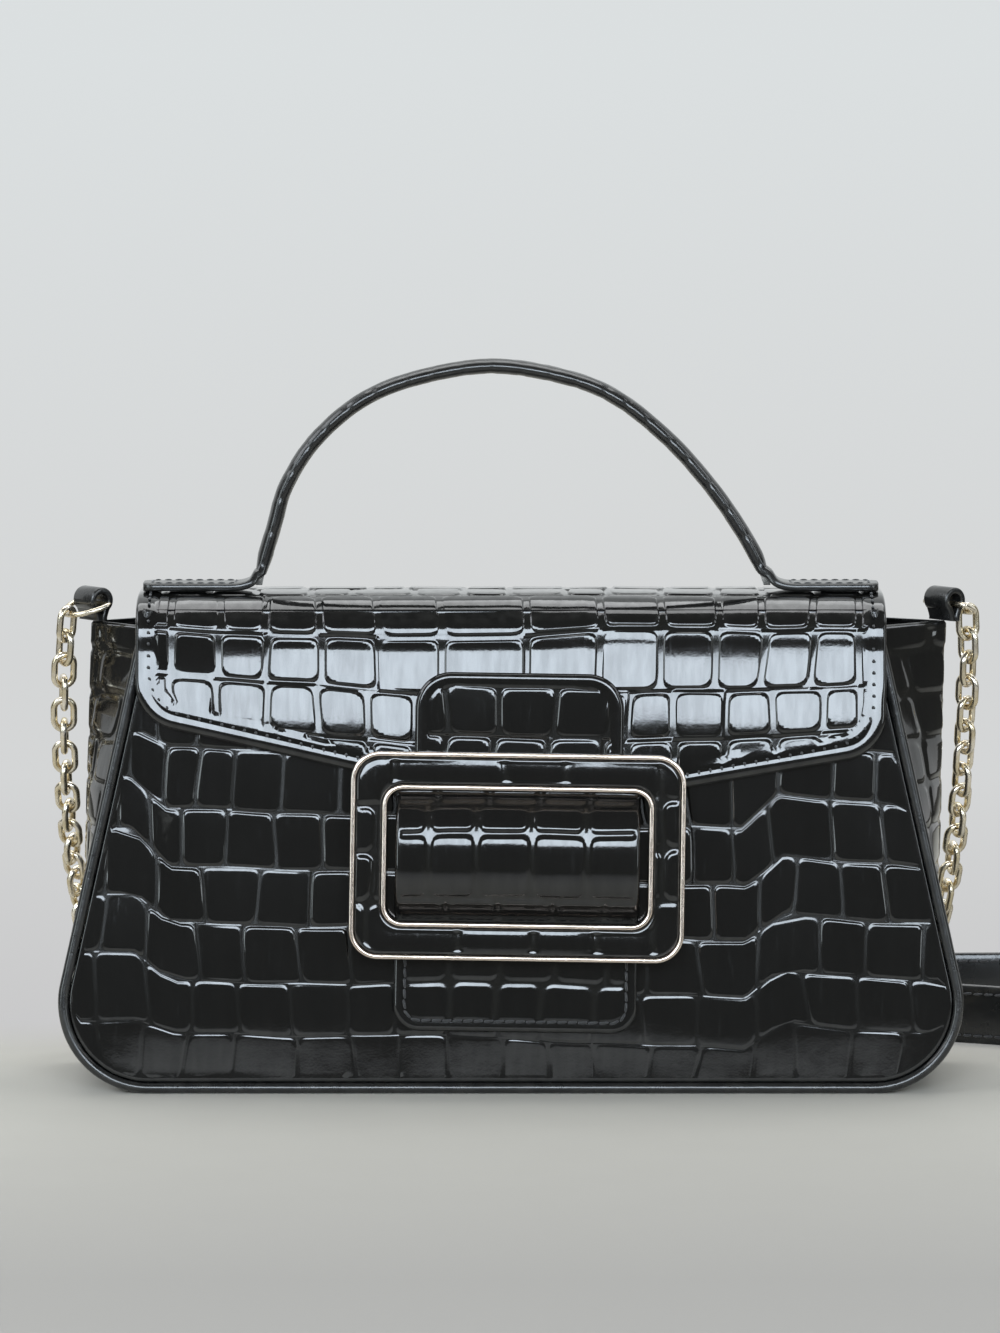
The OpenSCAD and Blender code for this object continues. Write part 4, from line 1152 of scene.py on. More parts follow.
def make_gusset(name, side, seed):
    """Leather strip from the top down the side and round the corner, folded outwards along its middle."""
    n_side, n_corner, n_across = 132, 44, 80
    inset, thickness, soft = 0.6, 1.3, 0.09
    tangent = corner_point(0, SIDE_ANGLE)[1]
    v_side = np.linspace(GUSSET_H, tangent, n_side, endpoint=False)
    xc, vc = corner_point(inset, np.linspace(SIDE_ANGLE, -math.pi / 2, n_corner))
    x = np.concatenate([side_x(inset, v_side), xc])
    z = np.concatenate([v_side, vc])
    out = fold(side, z) * smooth(0, 12, z - CREASE_FOOT)
    depth = BASE_DEPTH / 2 - z * math.tan(TILT) - PANEL_INSET / math.cos(TILT)
    t = np.linspace(-1, 1, n_across)[None]
    ridge = 1 - (np.sqrt(t ** 2 + soft ** 2) - soft) / (math.sqrt(1 + soft ** 2) - soft)
    sag = (0.7 * (np.sin(z / 15) + 0.6 * np.sin(z / 8 + 1))[:, None] * np.sin(t * math.pi)
           * smooth(2, 8, out)[:, None])
    u = depth[:, None] * t
    surface = np.stack([x[:, None] + out[:, None] * ridge - inset + sag, u, z[:, None] + 0 * t], axis=-1)
    run = np.concatenate([[0], np.cumsum(np.hypot(np.diff(x), np.diff(z)))])[:, None] + 0 * t
    edge = np.minimum(run, depth[:, None] * (1 - np.abs(t)))
    s = scales(scale_pattern(seed, np.arange(-5, 190, 12.2), -34, 34, 11.5, 0.2), u, run)
    height = emboss(s, smooth(0.3, 2.5, edge) * 0.8) - rounded_edge(edge, 0.6)
    masks = make_masks(s["groove"], s["tone"], 1 - smooth(0.4, 1.2, edge))
    gusset = shell(name, surface * (side, 1, 1), height, thickness, SCALE_LEATHER, masks, flip=side > 0)
    finish_piece(gusset, "bag", "embossed_leather", name)


def below(x, y, w):
    """As front, for the base: w grows downwards."""
    return np.stack([x, y, -w], axis=-1)


def make_base():
    low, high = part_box("gusset_base")
    x, y = np.meshgrid(np.linspace(low[0], high[0], 260) / MM, np.linspace(low[1], high[1], 70) / MM)
    d = np.minimum(high[0] / MM - np.abs(x), high[1] / MM - np.abs(y))
    s = scales(scale_pattern(31, np.arange(-40, 42, 12.4), -110, 110, 12.4), x, y)
    height = emboss(s, smooth(0.3, 3, d)) - rounded_edge(d, 0.5)
    masks = make_masks(s["groove"], s["tone"], 1 - smooth(0.4, 1.2, d))
    base = flat_shell("gusset_base", below, x, y, height, -high[2] / MM, SCALE_LEATHER, masks, True)
    finish_piece(base, "bag", "embossed_leather", "gusset_base")


make_front_panel()
make_back_panel()
make_piping("front_piping", front)
make_piping("back_piping", back)
make_gusset("gusset_left", -1, 41)
make_gusset("gusset_right", 1, 43)
make_base()


# ---------------------------------------------------------------- lining and loops
def make_lining():
    """Bag of cloth inside the panels, with a hem at its mouth and slack folds."""
    wall, inset, around, top_v, hem = 0.8, 3.8, 160, 126, 0.5
    x, v = corner_point(inset, np.linspace(-math.pi / 2, SIDE_ANGLE, 18))
    up = np.linspace(v[-1], top_v, 60)[1:]
    v, x = np.concatenate([v, up]), np.concatenate([x, side_x(inset, up)])
    depth = BASE_DEPTH / 2 - v * math.tan(TILT) - 3.65 / math.cos(TILT)
    rings = []
    for xi, vi, di in zip(x, v, depth):
        corners = np.array([(-xi, -di), (xi, -di), (xi + fold(1, vi), 0), (xi, di), (-xi, di),
                            (-xi - fold(-1, vi), 0), (-xi, -di)])
        total = run_lengths(corners)[-1]
        rings.append(np.column_stack([along(corners, np.arange(around) * total / around), np.full(around, vi)]))
    outer = np.array(rings)
    a = np.arange(around)[None] * TURN / around
    slack = ((0.35 * np.sin(9 * a + 1) + 0.25 * np.sin(17 * a + 2.2)) * smooth(20, 60, v)[:, None]
             * (1 - smooth(110, 118, v))[:, None])
    towards = outer.mean(axis=1, keepdims=True) - outer
    towards[..., 2] = 0
    towards /= np.maximum(np.linalg.norm(towards, axis=-1, keepdims=True), 1e-9)
    outer = outer + towards * (0.6 + slack)[..., None]
    inner = outer + towards * (wall + hem * smooth(117.4, 117.9, v))[:, None, None]
    inner[0, :, 2] += wall
    rows, count = len(v), outer.shape[0] * around
    faces = grid_faces(rows, around, 0, False, True) + grid_faces(rows, around, count, True, True)
    j = np.arange(around)
    faces += band(count - around, 2 * count - around, around)
    faces += [j[::-1].tolist(), (j + count).tolist()]
    lining = new_mesh("lining", np.vstack([outer.reshape(-1, 3), inner.reshape(-1, 3)]), faces, LINING)
    finish_piece(lining, "bag", "lining", "lining")


def make_loop(name, side):
    """Folded strip of leather, its arch round the D ring's bar and its two legs on the gusset's fold."""
    r, legs = LOOP_R - LOOP_T / 2, 0.9
    stem = GUSSET_H + SEAM - LOOP_Z
    a = np.linspace(math.pi * 1.28, -math.pi * 0.28, 30)
    arch = np.stack([r * np.cos(a), r * np.sin(a)], axis=-1)
    foot, knee = stem + 0.01, (stem + arch[0, 1]) / 2 - 0.6
    flat = evenly(spline([(-legs, foot), (-legs, knee), *arch, (legs, knee), (legs, foot)], 4), 0.4)
    c, s = math.cos(LOOP_TURN), math.sin(LOOP_TURN)
    path = np.stack([loop_x(side) + flat[:, 0] * c, flat[:, 0] * s, LOOP_Z + flat[:, 1]], axis=-1)
    loop = sweep(name, path, (-s, c, 0), soft_box(LOOP_W, LOOP_T, 0.55, 4), PLAIN_LEATHER)
    finish_piece(loop, "bag", "smooth_leather", name)


make_lining()
make_loop("ring_loop_left", -1)
make_loop("ring_loop_right", 1)


# ---------------------------------------------------------------- flap
def flap_profile():
    """Outer face of the flap's leather from its seam on the back, over the top, to its lower end. It bends over
    the mouth in a wider curve than in the CAD model."""
    def cut(place, v, w):
        return tuple(place(np.zeros(1), np.array([float(v)]), np.array([float(w)]))[0, 1:])

    points = [cut(back, v, 1.75) for v in (108.5, 114, 120, 126, 130.5)]
    points += [(19.7, 133.6), (18.6, 135.7), (16.2, 136.7), (12, 136.85), (4, 136.88), (-3, 136.82), (-7.5, 136.4),
               (-11.2, 135.6), (-14.2, 134.4), (-16.3, 133), (-17.8, 131.5), (-18.8, 130), (-19.45, 128.5),
               (-19.85, 127), (-20.15, 124.5)]
    points += [cut(front, v, w) for v, w in [*zip(HANG_V[::-1], HANG_W[::-1]), (78, 3.3)]]
    return evenly(spline(points, 10), 0.35)


PROFILE = flap_profile()
PROFILE_RUN = run_lengths(PROFILE)
FRONT_FROM = int(np.argmax((PROFILE[:, 0] < 0) & (PROFILE[:, 1] < 131)))


def run_at_v(v):
    """Distance along the flap's profile at a height v on the front."""
    z = PROFILE[FRONT_FROM:, 1]
    heights = (z - LIFT - FLAP_W_OUT * math.sin(TILT)) / math.cos(TILT)
    return np.interp(-v, -heights, PROFILE_RUN[FRONT_FROM:])


def flap_outline(inset, shrink=0.0):
    """The flap's outline on the front. shrink is how fast its side corners' radius falls with the inset."""
    x, top = FLAP_HALF - inset, PANEL_V + 40
    corner = FLAP_CORNER_R - inset * shrink
    return rounded([(-x, top, 0), (-x, FLAP_LEFT_V + inset, corner), (FLAP_TIP_X, FLAP_TIP_V + inset, FLAP_CORNER_R),
                    (x, FLAP_RIGHT_V + inset, corner), (x, top, 0)], FINE)


def lower_edge(outline, x):
    """Height of an outline's lower edge at x."""
    low = outline[np.argsort(outline[:, 0])]
    keep = low[:, 1] < PANEL_V
    return np.interp(x, low[keep, 0], low[keep, 1])


def clustered(half, r, step):
    """Places across a width, closer together near both ends, where the corners are round."""
    end = half - r * (1 - np.cos(np.linspace(0, math.pi / 2, 14)))
    middle = np.linspace(-half + r, half - r, int(2 * (half - r) / step) + 1)
    return np.concatenate([-end, middle[1:-1], end[::-1]])


FLAP_TILES = dict(gap=0.7, shoulder=0.6, round=3.2, depth=0.42, crown=0.08, lean=0.008)
FLAP_ROWS_V = [
    (129.3, 128.3, 126.6, 125.3, 125.5, 127.8, 128, 128, 128),
    (117, 115.6, 113.2, 110, 109.5, 110.4, 111.6, 112.4, 112.8),
    (104, 102.5, 99.3, 96.3, 95, 97, 98.6, 100.2, 101), (88, 87, 86, 84, 82, 83, 84.5, 86, 87), (74,) * 9,
]
FLAP_KNOTS = (-112, -90, -60, -30, 0, 30, 60, 90, 112)
FLAP_EDGE = (0, 0.25, 0.6, 1.1, 1.8, 2.5, 3.0, 3.35, 3.75, 4.3, 5.1, 6.2)


def flap_place(x, run):
    """Place and outward direction of points on the flap's outer face."""
    turn = directions(PROFILE)
    normal = np.stack([np.interp(run, PROFILE_RUN, -turn[:, 1]), np.interp(run, PROFILE_RUN, turn[:, 0])], axis=-1)
    normal /= -np.linalg.norm(normal, axis=1, keepdims=True)
    narrow = 1 - 4.0 / FLAP_HALF * (1 - smooth(24, 31, run))
    return np.column_stack([x * narrow, along(PROFILE, run)]), np.column_stack([0 * x, normal])


def flap_thickness(run):
    """Thickness of the flap's leather along its profile: thin over the bag's mouth, full at both ends."""
    return 1.1 + 0.5 * (1 - smooth(26, 34, run)) + 0.9 * smooth(*run_at_v(np.array([115.0, 106.0])), run)


FLAP_RUNS_BEHIND = (-14.0, 0.5, 13.0, 26.5, 40.0, 54.5)
FLAP_UPPER = (-112, -98.6, -93.4, -80.2, -67.3, -52.3, -36.7, -19.2, 3.9, 23.9, 41.1, 56.5, 69.6, 83.3, 96.2, 100.2,
              112)
FLAP_LOWER = (-112, -98.2, -93.4, -80.8, -67.1, -53.4, -39.4, -27.1, -12, 3, 18, 32.1, 45.5, 59.5, 72.9, 86.6, 97.3,
              100.6, 112)


def make_flap():
    """One sheet from the seam on the back over the hinge to the front edge."""
    def outline_at(inset):
        x, low = FLAP_HALF - inset, flap_outline(inset, 0.6)[1:-1]
        return np.vstack([[(-x, inset)], np.column_stack([low[:, 0], run_at_v(low[:, 1])]), [(x, inset)]])[::-1]

    rng = np.random.default_rng(5)
    behind = [np.concatenate([[-112], np.arange(-97, 98, 13.9) + rng.uniform(-2, 2, 15), [112]]) for _ in range(5)]
    lines = [np.full(len(FLAP_KNOTS), run) for run in FLAP_RUNS_BEHIND]
    lines += [run_at_v(np.array(row, float)) for row in FLAP_ROWS_V]
    joints = behind + [FLAP_UPPER, FLAP_UPPER, FLAP_LOWER, FLAP_LOWER, FLAP_LOWER]
    dark = (0.0, -0.08, 1.0)  # leans so that it mirrors the dark room, as the tiles at the left do in the photo
    field = tile_field(57, FLAP_KNOTS, lines, joints, FLAP_TILES, warp=0.4, slant=0.7,
                       leans={6: {0: dark, 1: dark, 2: dark}})
    tiles = framed_tiles(outline_at, FLAP_EDGE, field, pitch=1.4)
    x, run, d = tiles["x"], tiles["v"], tiles["d"]
    at_side = smooth(FLAP_HALF - 5, FLAP_HALF - 3, np.abs(x))  # where the plain border is narrower
    amount = smooth(4.6 - 2.6 * at_side, 6.0 - 2.8 * at_side, d)
    edge_r = np.minimum(1.7, 0.85 * flap_thickness(run))
    seam = 0.12 * np.exp(-((d - 3.6) / 0.5) ** 2)  # the stitches' furrow
    height = tiles["height"] * amount - seam - rounded_edge(d, edge_r)
    masks = make_masks(tiles["groove"] * amount, tiles["tone"], 1 - smooth(1.4, 2.4, d))
    surface, out = flap_place(x, run)
    inner = surface - out * flap_thickness(run)[:, None]
    flap = tiled_shell("flap_leather", surface + out * height[:, None], inner, tiles, SCALE_LEATHER, masks,
                       mirrored=True)
    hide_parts("flap_panel", "flap_back_strip")
    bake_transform(flap)


def make_flap_lining():
    """Smooth leather glued under the flap, from behind the mouth to just inside the flap's edge."""
    inset, start, rows, thickness, glue = 2.3, 39.0, 150, 0.5, 0.03
    x = clustered(FLAP_HALF - inset, FLAP_CORNER_R, 1.6)
    end = run_at_v(lower_edge(flap_outline(inset), x))
    run = start + np.linspace(0, 1, rows)[:, None] * (end - start)[None]
    xx = np.repeat(x[None], rows, 0)
    place = flap_place(xx.ravel(), run.ravel())[0].reshape(rows, -1, 3)
    edge = np.minimum(np.minimum(FLAP_HALF - inset - np.abs(xx), end[None] - run), run - start)
    low = flap_thickness(run) + glue
    grain = 0.03 * np.sin(xx / 2.1 + 2 * np.sin(run / 3.7)) * np.sin(run / 2.9 + xx / 7)
    depth = low + thickness + grain - rounded_edge(edge, 0.4) * 0.6
    lining = shell("flap_lining", place, -low, depth[..., None], PLAIN_LEATHER, flip=True)
    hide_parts("flap_lining")
    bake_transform(lining)


def make_flap_stitches():
    """One row round the flap, 3.6 mm in from its edge, from the hinge down, along the front and up again."""
    inset, start, sink = 3.6, 41.0, 0.04
    inner = flap_outline(inset)[1:-1]
    low = np.column_stack([inner[:, 0], run_at_v(inner[:, 1])])
    line = evenly(np.vstack([[(low[0, 0], start)], low, [(low[-1, 0], start)]]), 1.0)
    place, out = flap_place(line[:, 0], line[:, 1])
    s = run_lengths(place)
    at = np.arange(1.0, s[-1], STITCH_PITCH)
    points, up = along(place, at), along(out, at)
    t = along(directions(place), at)
    up /= np.linalg.norm(up, axis=1, keepdims=True)
    side = np.cross(up, t)
    side /= np.linalg.norm(side, axis=1, keepdims=True)
    frames = np.stack([np.cross(side, up), side, up], axis=-1)
    stitches = repeat("flap_stitches", STITCH, points - sink * up, frames, THREAD)
    finish_piece(stitches, "flap", "embossed_leather")


def make_back_stitches():
    """Two rows that hold the flap's back edge to the back panel."""
    margin, proud = 8, 1.78
    x = np.linspace(-FLAP_HALF + margin, FLAP_HALF - margin, 3)
    for k, height in enumerate((112.0, 127.0)):
        points = evenly(back(x, np.full(3, height), np.full(3, proud)), STITCH_PITCH)
        frames = stitch_frames(points, (0, math.cos(TILT), math.sin(TILT)))
        finish_piece(repeat(f"back_stitches_{k}", STITCH, points, frames, THREAD), "bag", "embossed_leather")


make_flap()
make_flap_lining()
make_flap_stitches()
make_back_stitches()


# ---------------------------------------------------------------- tab, tongue and buckle
TAB_TILES = dict(gap=0.5, shoulder=0.7, round=3.0, depth=0.42, crown=0.12, lean=0.012)
TAB_EDGE = (0, 0.2, 0.45, 0.8, 1.3, 1.8, 2.3, 2.8, 3.3, 3.8)


def cup(x, top, low, r, steps):
    """Two upright sides at -x and x, joined below with rounded corners."""
    return rounded([(-x, top, 0), (-x, low, r), (x, low, r), (x, top, 0)], steps)


def make_tab():
    def outline_at(inset):
        x, r = TAB_HALF - inset, TAB_R - inset * 0.7
        return rounded([(-x, TAB_LOW + inset, 0), (x, TAB_LOW + inset, 0), (x, TAB_RISE - inset, r),
                        (-x, TAB_RISE - inset, r)], FINE)

    lines = [np.full(2, v) for v in (4.0, 19.0, 33.2, 47.4, 61.0)]
    joints = [(-45, -20, 0, 20, 45), (-45, -20.4, -7.2, 7.2, 23, 45), (-45, -20.4, -6.2, 9.2, 25, 45),
              (-45, -20, 0, 20, 45)]
    field = tile_field(61, (-50, 50), lines, joints, TAB_TILES, warp=0.35, slant=0.8)
    tiles = framed_tiles(outline_at, TAB_EDGE, field)
    x, v, d = tiles["x"], tiles["v"], tiles["d"]
    amount = smooth(3.0, 4.4, d)
    height = (TAB_W1 - 0.2 + tiles["height"] * amount + 0.1 * (1 - smooth(1.4, 3.2, d))
              - rounded_edge(d, 1.4) * (v > TAB_LOW + 1))
    masks = make_masks(tiles["groove"] * amount, tiles["tone"], 1 - smooth(1.4, 2.6, d))
    under = at_buckle(x, v, np.full(x.shape, TAB_LEAST_W))
    tab = tiled_shell("buckle_tab", at_buckle(x, v, height), under, tiles, SCALE_LEATHER, masks, one_back=True)
    finish_piece(tab, "flap", "embossed_leather", "buckle_tab")


def tongue_profile():
    """Outer face of the tongue in (v, w): the roll in the window, then flat below the buckle."""
    share = np.linspace(1, -1, 40)
    roll = np.stack([share * ROLL_H / 2, TAB_W1 + ROLL_RISE * (1 - np.abs(share) ** 3)], axis=-1)
    low = np.array([(-18.3, 3.6), (-19.6, TONGUE_LOW_W + 0.25)]
                   + [(v, TONGUE_LOW_W) for v in (-22, -30, -40, -TONGUE_DROP)])
    return evenly(np.vstack([[(TAB_LOW - 0.3, TAB_W1)], roll, low]), 0.4)


# Upright joints of the tongue's rows, those in view set from the photo.
TONGUE_JOINTS = {
    1: [-60, -37.5, -24.6, -11.4, 3.6, 18.4, 34.5], 2: [-60, -37.5, -24.2, -11.2, 3.9, 18.8, 35],
    3: [-60, -37.5, -19.5, -5.2, 9.6, 24, 37.5], 4: [-60, -37.5, -19, -4.8, 10.2, 24.8, 38],
}


def make_tongue():
    """One sheet that bulges through the window and hangs below it, flatter embossed there and with a stitched edge."""
    profile, rows = tongue_profile(), 150
    runs = run_lengths(profile)
    x = clustered(TONGUE_HALF, TONGUE_R, 0.56)
    over = np.abs(x) - TONGUE_HALF + TONGUE_R
    drop = np.where(np.abs(x) > TONGUE_HALF - TONGUE_R,
                    TONGUE_R - np.sqrt(np.maximum(TONGUE_R ** 2 - over ** 2, 0)), 0)
    run = np.linspace(0, 1, rows)[:, None] * (runs[-1] - drop[None])
    xx = np.repeat(x[None], rows, 0)
    vw = along(profile, run)
    surface = at_buckle(xx, vw[..., 0], vw[..., 1])
    d = distance_to(cup(TONGUE_HALF, 200, 0, TONGUE_R, FINE), xx, runs[-1] - run, closed=False)
    first = float(np.interp(-6.3, -profile[:, 0], runs))
    lines = [first - 22, first - 9.5, first, first + 18.5, first + 31, first + 44.5, first + 57.5]
    s = scales(scale_pattern(67, lines, -50, 50, 14, 0.1, TONGUE_JOINTS, sway=0.4), xx, run)
    low = smooth(first + 20, first + 27, run)
    field = smooth(2.8, 4.4, d) * low + smooth(0.6, 2.2, d) * (1 - low)
    seam = 0.08 * np.exp(-((d - 3.0) / 0.6) ** 2) * low  # the stitches' furrow
    height = -0.1 + emboss(s, field) * (1 - 0.7 * low) - seam - rounded_edge(d, 1.1)
    masks = make_masks(s["groove"] * field, s["tone"], 1 - smooth(1.0, 2.0, d))
    tongue = shell("tongue", surface, height, TONGUE_T - 0.1, SCALE_LEATHER, masks, flip=True)
    finish_piece(tongue, "flap", "embossed_leather", "tongue")

    margin = 3
    row = cup(TONGUE_HALF - margin, -21, -TONGUE_DROP + margin, TONGUE_R - margin, 12)
    points = evenly(at_buckle(row[:, 0], row[:, 1], np.full(len(row), TONGUE_LOW_W - 0.12)), 2.9)
    frames = stitch_frames(points, (0, -math.cos(TILT), math.sin(TILT)))
    finish_piece(repeat("tongue_stitches", STITCH, points, frames, THREAD), "flap", "embossed_leather")


def make_rim(name, w, h, r):
    line = evenly(box_outline(w, h, r, 16), 0.9, closed=True)
    path = at_buckle(line[:, 0], line[:, 1], np.full(len(line), (RIM_W0 + RIM_W1) / 2))
    rim = sweep(name, path, outward(at_buckle), soft_box(RIM_W1 - RIM_W0, RIM_W, 0.5, 5), GOLD, closed=True)
    finish_piece(rim, "flap", "gold_metal", name)


def four_sides(w, h, r, per_side):
    """A rounded box with the same number of points on every side, so that two such outlines pair up."""
    out = []
    for k in range(4):
        length, other = (w, h) if k % 2 == 0 else (h, w)
        x = np.linspace(-1, 1, per_side, endpoint=False) * (length / 2)
        over = np.maximum(np.abs(x) - (length / 2 - r), 0)
        angle = over / r * math.pi / 4
        px = np.where(over > 0, np.sign(x) * (length / 2 - r + r * np.sin(angle)), x)
        py = -(other / 2 - r + r * np.cos(angle))
        c, q = math.cos(k * math.pi / 2), math.sin(k * math.pi / 2)
        out.append(np.stack([px * c - py * q, px * q + py * c], axis=-1))
    return np.vstack(out)


INLAY_JOINTS = {0: [-70, -41, -16, 4.2, 21.5, 37.5, 60], 1: [-70, -40, 0, 40, 60, 80], 2: [-70, -40, 0, 40, 60, 80],
                3: [-70, -34, -3, 14, 40, 60]}


def make_inlay():
    """Padded leather between the two rims."""
    gap, per_side, steps = RIM_W + SEAM / 2, 110, 17
    outer = four_sides(BUCKLE_W - 2 * gap, BUCKLE_H - 2 * gap, BUCKLE_R - gap, per_side)
    inner = four_sides(WINDOW_W + 2 * gap, WINDOW_H + 2 * gap, WINDOW_R + gap, per_side)
    t = np.linspace(0, 1, steps)[:, None, None]
    line = inner[None] * (1 - t) + outer[None] * t
    x, v = line[..., 0], line[..., 1]
    t = t[..., 0]
    d = np.minimum(t, 1 - t) * 8 + 0 * x
    pattern = scale_pattern(71, [-60, -12.5, 1.5, 14.5, 60], -60, 60, 15, 0.15, INLAY_JOINTS, slope=0.02, sway=0.7)
    s = scales(pattern, x, v)
    height = (INLAY_W1 - 0.15 + 0.22 * (4 * t * (1 - t) - 1) + emboss(s, smooth(0.2, 1.6, d)) * 0.8
              - rounded_edge(d, 0.35))
    rows, columns = x.shape
    top = at_buckle(x, v, height).reshape(-1, 3)
    under = at_buckle(x, v, np.full(x.shape, INLAY_W0)).reshape(-1, 3)
    count = rows * columns
    last = count - columns
    faces = grid_faces(rows, columns, 0, True, True) + grid_faces(rows, columns, count, False, True)
    faces += band(0, count, columns) + band(last, last + count, columns, True)
    masks = longer(make_masks(s["groove"], s["tone"], np.zeros(count)), count)
    inlay = new_mesh("buckle_inlay", np.vstack([top, under]), faces, SCALE_LEATHER, masks)
    finish_piece(inlay, "flap", "embossed_leather", "buckle_inlay")


make_tab()
make_tongue()
make_rim("buckle_outer_rim", BUCKLE_W - RIM_W, BUCKLE_H - RIM_W, BUCKLE_R - RIM_W / 2)
make_rim("buckle_inner_rim", WINDOW_W + RIM_W, WINDOW_H + RIM_W, WINDOW_R + RIM_W / 2)
make_inlay()


# ---------------------------------------------------------------- handle
def make_handle():
    """Rolled leather arch whose flattened ends lie along the flap and are sewn to it."""
    foot_z = FLAP_TOP_Z + 0.4
    rise = HANDLE_RISE - 0.4 - HANDLE_T / 2
    arch = spline([(HANDLE_LEFT + a * HANDLE_SPAN, foot_z + b * rise) for a, b in HANDLE_SHARES], 6)
    keep = arch[(arch[:, 1] > foot_z + 4.5)]
    end_t, end_w = 1.2, 7.0
    end_z = FLAP_TOP_Z + 0.15 + end_t
    left_end, right_end = -FLAP_HALF + 1.5, FLAP_HALF - 1.5
    left_x, right_x = HANDLE_LEFT, HANDLE_LEFT + HANDLE_SPAN
    left = [(left_end, end_z), (left_end + 8, end_z), (left_x - 12, end_z), (left_x - 5.5, end_z + 0.1),
            (left_x - 1.8, end_z + 1.2), (left_x - 0.1, end_z + 3.4)]
    right = [(right_x + 0.1, end_z + 3.4), (right_x + 2.0, end_z + 1.2), (right_x + 5.5, end_z + 0.1),
             (right_x + 12, end_z), (right_end - 8, end_z), (right_end, end_z)]
    line = evenly(np.vstack([spline(left, 6), keep, spline(right, 6)]), 0.7)
    s = run_lengths(line)

    # From flat ends to a nearly round arch: half sizes of the section, and how boxy it is.
    up = smooth(end_z + 0.6, end_z + 9, line[:, 1])
    half_t = end_t + (HANDLE_T / 2 - end_t) * up
    half_w = end_w + (HANDLE_W / 2 - end_w) * smooth(end_z + 0.2, end_z + 6, line[:, 1])
    end = np.minimum(s, s[-1] - s)
    half_w = half_w * (0.75 + 0.25 * np.sqrt(np.clip(end / 2.5, 0, 1)))
    a = np.arange(28) * TURN / 28
    up = up[:, None]
    power = 0.35 + 0.65 * up
    cy, cn = np.cos(a)[None], np.sin(a)[None]
    first = np.sign(cy) * np.abs(cy) ** power * half_w[:, None]
    second = np.sign(cn) * np.abs(cn) ** power * half_t[:, None]

    pattern = scale_pattern(83, [-30, -20, -6.2, 6.2, 20, 30], -20, s[-1] + 20, 8.2, 0.2, sway=0.5)
    around = (a / TURN * 24)[None] - 12 + 0 * s[:, None]
    marks = scales(pattern, s[:, None] + 0 * around, around)
    factor = 1 + 0.06 * (marks["rise"] * 0.9) * up
    path = np.column_stack([line[:, 0], np.zeros(len(line)), line[:, 1]])
    masks = make_masks((marks["groove"] * up).ravel(), marks["tone"].ravel(), np.zeros(marks["tone"].size))
    handle = sweep("handle", path, (0, 1, 0), np.stack([first * factor, second * factor], axis=-1), HANDLE_LEATHER,
                   masks=masks)
    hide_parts("handle", "handle_end_left", "handle_end_right")
    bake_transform(handle)

    for k, (x0, x1) in enumerate(((left_end + 2.5, left_x - 6), (right_x + 6, right_end - 2.5))):
        outline = box_outline(x1 - x0, 10.5, 2.0, 6) + ((x0 + x1) / 2, 0)
        ring = evenly(np.column_stack([outline, np.full(len(outline), end_z + 0.98)]), 2.9, True)
        frames = stitch_frames(ring, (0, 0, 1), True)
        stitches = repeat(f"handle_end_stitches_{k}", STITCH, ring, frames, THREAD)
        finish_piece(stitches, "flap", "smooth_leather")


make_handle()


# ---------------------------------------------------------------- hidden pieces keep their CAD shape
HIDDEN = [
    (BOARD, ("front_stiffener", "back_stiffener", "base_board")), (NICKEL, ("front_magnet", "tongue_magnet")),
    (PADDING, ("tongue_padding", "handle_core")), (PLAIN_LEATHER, ("tongue_lining", "buckle_frame")),
]
for material, names in HIDDEN:
    for name in names:
        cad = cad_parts[name]
        cad.data.materials.clear()
        cad.data.materials.append(material)
bpy.data.objects.remove(STITCH)


# ---------------------------------------------------------------- floor, backdrop and light
def soft_mix(tree, factor, a, b):
    """Shader a where factor is 0 and b where it is 1."""
    return node(tree, "ShaderNodeMixShader", i0=factor, i1=a, i2=b).outputs[0]


def glow(tree, colour):
    return node(tree, "ShaderNodeEmission", Color=colour, Strength=1.0).outputs[0]


def stage_plane(material, corners):
    """A four-sided plane of the set, named as its material."""
    mesh = bpy.data.meshes.new(material.name)
    mesh.from_pydata(corners, [], [(0, 1, 2, 3)])
    mesh.materials.append(material)
    return link_object(material.name, mesh)


SET_HALF, SET_NEAR, SET_FAR, SET_H = 3, -2.5, 1.2, 3
HORIZON = (0.66, 0.67, 0.672, 1)


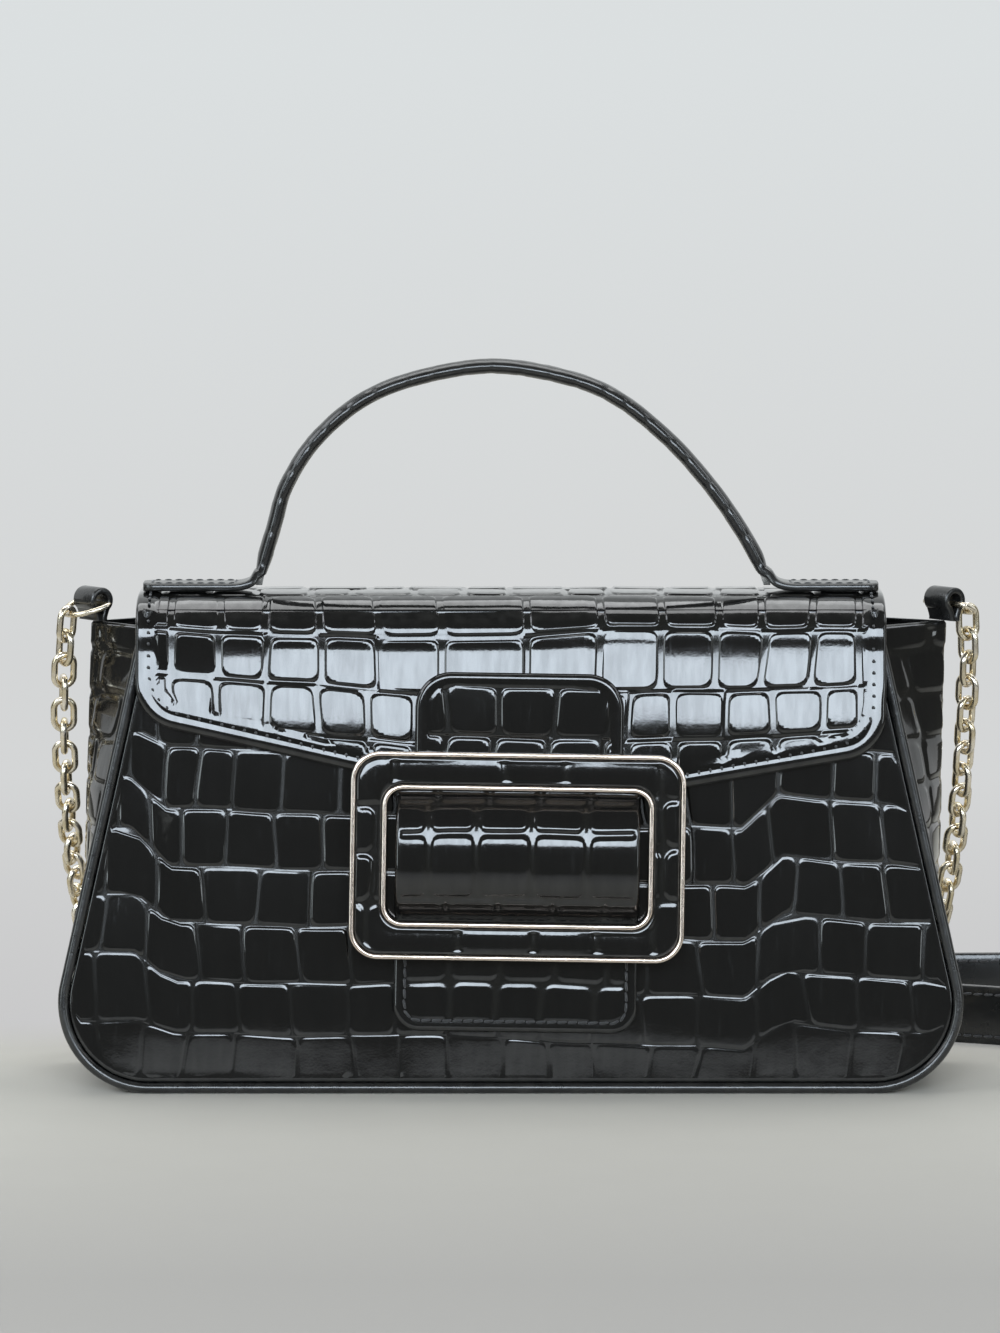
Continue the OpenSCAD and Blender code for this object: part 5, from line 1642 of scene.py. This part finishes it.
def make_floor():
    """Matt table that runs into the bright backdrop behind the bag, with painted shade that darkens it towards the
    front. In reflections the table in front and beside glows a dim grey: a painted reflection of a dark room."""
    material, tree, out = blank_material("floor")
    place = object_place(tree)
    parts = node(tree, "ShaderNodeSeparateXYZ", Vector=place).outputs
    path = node(tree, "ShaderNodeLightPath").outputs
    tone = mixed(tree, noise(tree, place, 40.0, 4.0), (0.53, 0.505, 0.452, 1), (0.56, 0.535, 0.48, 1))
    # Painted shade: the table's colour turns darker towards the front.
    tone = mixed(tree, ramp(tree, parts["Y"], -0.05, -0.3), tone, (0.404, 0.381, 0.353, 1))
    table = node(tree, "ShaderNodeBsdfPrincipled", Base_Color=tone, Roughness=0.7, Specular_IOR_Level=0.25)

    far = maths(tree, "MULTIPLY", soft_ramp(tree, parts["Y"], 0.035, 0.11), path["Is Camera Ray"])
    backdrop = glow(tree, mixed(tree, ramp(tree, parts["Y"], 0.1, 0.75), (0.585, 0.585, 0.59, 1), HORIZON))
    mix = soft_mix(tree, far, table.outputs[0], backdrop)

    # Painted reflection: reflection rays see the table in front and beside glow a dim grey.
    before = soft_ramp(tree, parts["Y"], -0.1, -0.7)
    aside = soft_ramp(tree, maths(tree, "ABSOLUTE", parts["X"]), 0.3, 0.8)
    dark = maths(tree, "MULTIPLY", maths(tree, "MAXIMUM", before, aside), path["Is Glossy Ray"])
    feed(tree, out, Surface=soft_mix(tree, dark, mix, glow(tree, (0.1, 0.1, 0.09, 1))))
    floor = stage_plane(material, [(-SET_HALF, SET_NEAR, 0), (SET_HALF, SET_NEAR, 0), (SET_HALF, SET_FAR, 0),
                                   (-SET_HALF, SET_FAR, 0)])


def make_wall():
    """Backdrop that glows for the camera and reflections, is matt to other light and is clear from behind."""
    material, tree, out = blank_material("wall")
    up = ramp(tree, node(tree, "ShaderNodeSeparateXYZ", Vector=object_place(tree)).outputs["Z"], 0.0, 0.28)
    lit = glow(tree, mixed(tree, up, HORIZON, (0.71, 0.74, 0.748, 1)))
    path = node(tree, "ShaderNodeLightPath").outputs
    seen = maths(tree, "MAXIMUM", path["Is Camera Ray"], path["Is Glossy Ray"])
    matt = node(tree, "ShaderNodeBsdfDiffuse", Color=(0.55, 0.56, 0.56, 1)).outputs[0]
    behind = node(tree, "ShaderNodeNewGeometry").outputs["Backfacing"]
    clear = node(tree, "ShaderNodeBsdfTransparent").outputs[0]
    feed(tree, out, Surface=soft_mix(tree, behind, soft_mix(tree, seen, matt, lit), clear))
    wall = stage_plane(material, [(-SET_HALF, SET_FAR, 0), (SET_HALF, SET_FAR, 0), (SET_HALF, SET_FAR, SET_H),
                                  (-SET_HALF, SET_FAR, SET_H)])


def make_light(name, place, aim, width, height, power, colour):
    data = bpy.data.lights.new(name, "AREA")
    data.shape = "RECTANGLE"
    data.size, data.size_y = width, height
    data.energy = power
    data.color = colour
    light = link_object(name, data)
    light.location = place
    light.rotation_euler = (Vector(aim) - Vector(place)).to_track_quat("-Z", "Y").to_euler()


def make_world():
    """Dim sky for the light, and a bright one behind everything that the camera sees."""
    world = bpy.data.worlds.new("studio")
    world.use_nodes = True
    tree = world.node_tree
    sky = feed(tree, tree.nodes["Background"], Color=(0.93, 0.93, 0.86, 1), Strength=0.1)
    seen = node(tree, "ShaderNodeBackground", Color=(0.68, 0.7, 0.705, 1), Strength=1.0)
    camera_ray = node(tree, "ShaderNodeLightPath").outputs["Is Camera Ray"]
    feed(tree, tree.nodes["World Output"], Surface=soft_mix(tree, camera_ray, sky.outputs[0], seen.outputs[0]))
    bpy.context.scene.world = world


# name, place, aim, width, height, power, colour
LIGHTS = [
    ("window", (0.0, -2.2, 0.83), (0, 0, 0.1), 1.9, 0.72, 46, (0.8, 0.9, 1.0)),
    ("ceiling", (0.0, 0.85, 2.2), (0, 0.3, 0), 2.4, 1.6, 36, (0.97, 0.99, 1.0)),
    ("left_high", (-1.5, -0.2, 1.35), (0, 0, 0.1), 1.4, 0.8, 12, (0.9, 0.94, 1.0)),
    ("right_high", (1.6, 0.0, 1.3), (0, 0, 0.1), 0.5, 0.8, 4, (0.9, 0.95, 1.0)),
    ("left_window", (-1.45, -0.95, 0.5), (0, 0, 0.1), 0.6, 1.0, 7, (0.85, 0.96, 1.0)),
    ("right_window", (1.45, -0.95, 0.5), (0, 0, 0.1), 0.4, 1.0, 4.5, (0.88, 0.96, 1.0)),
]

make_floor()
make_wall()
make_world()
for light in LIGHTS:
    make_light(*light)
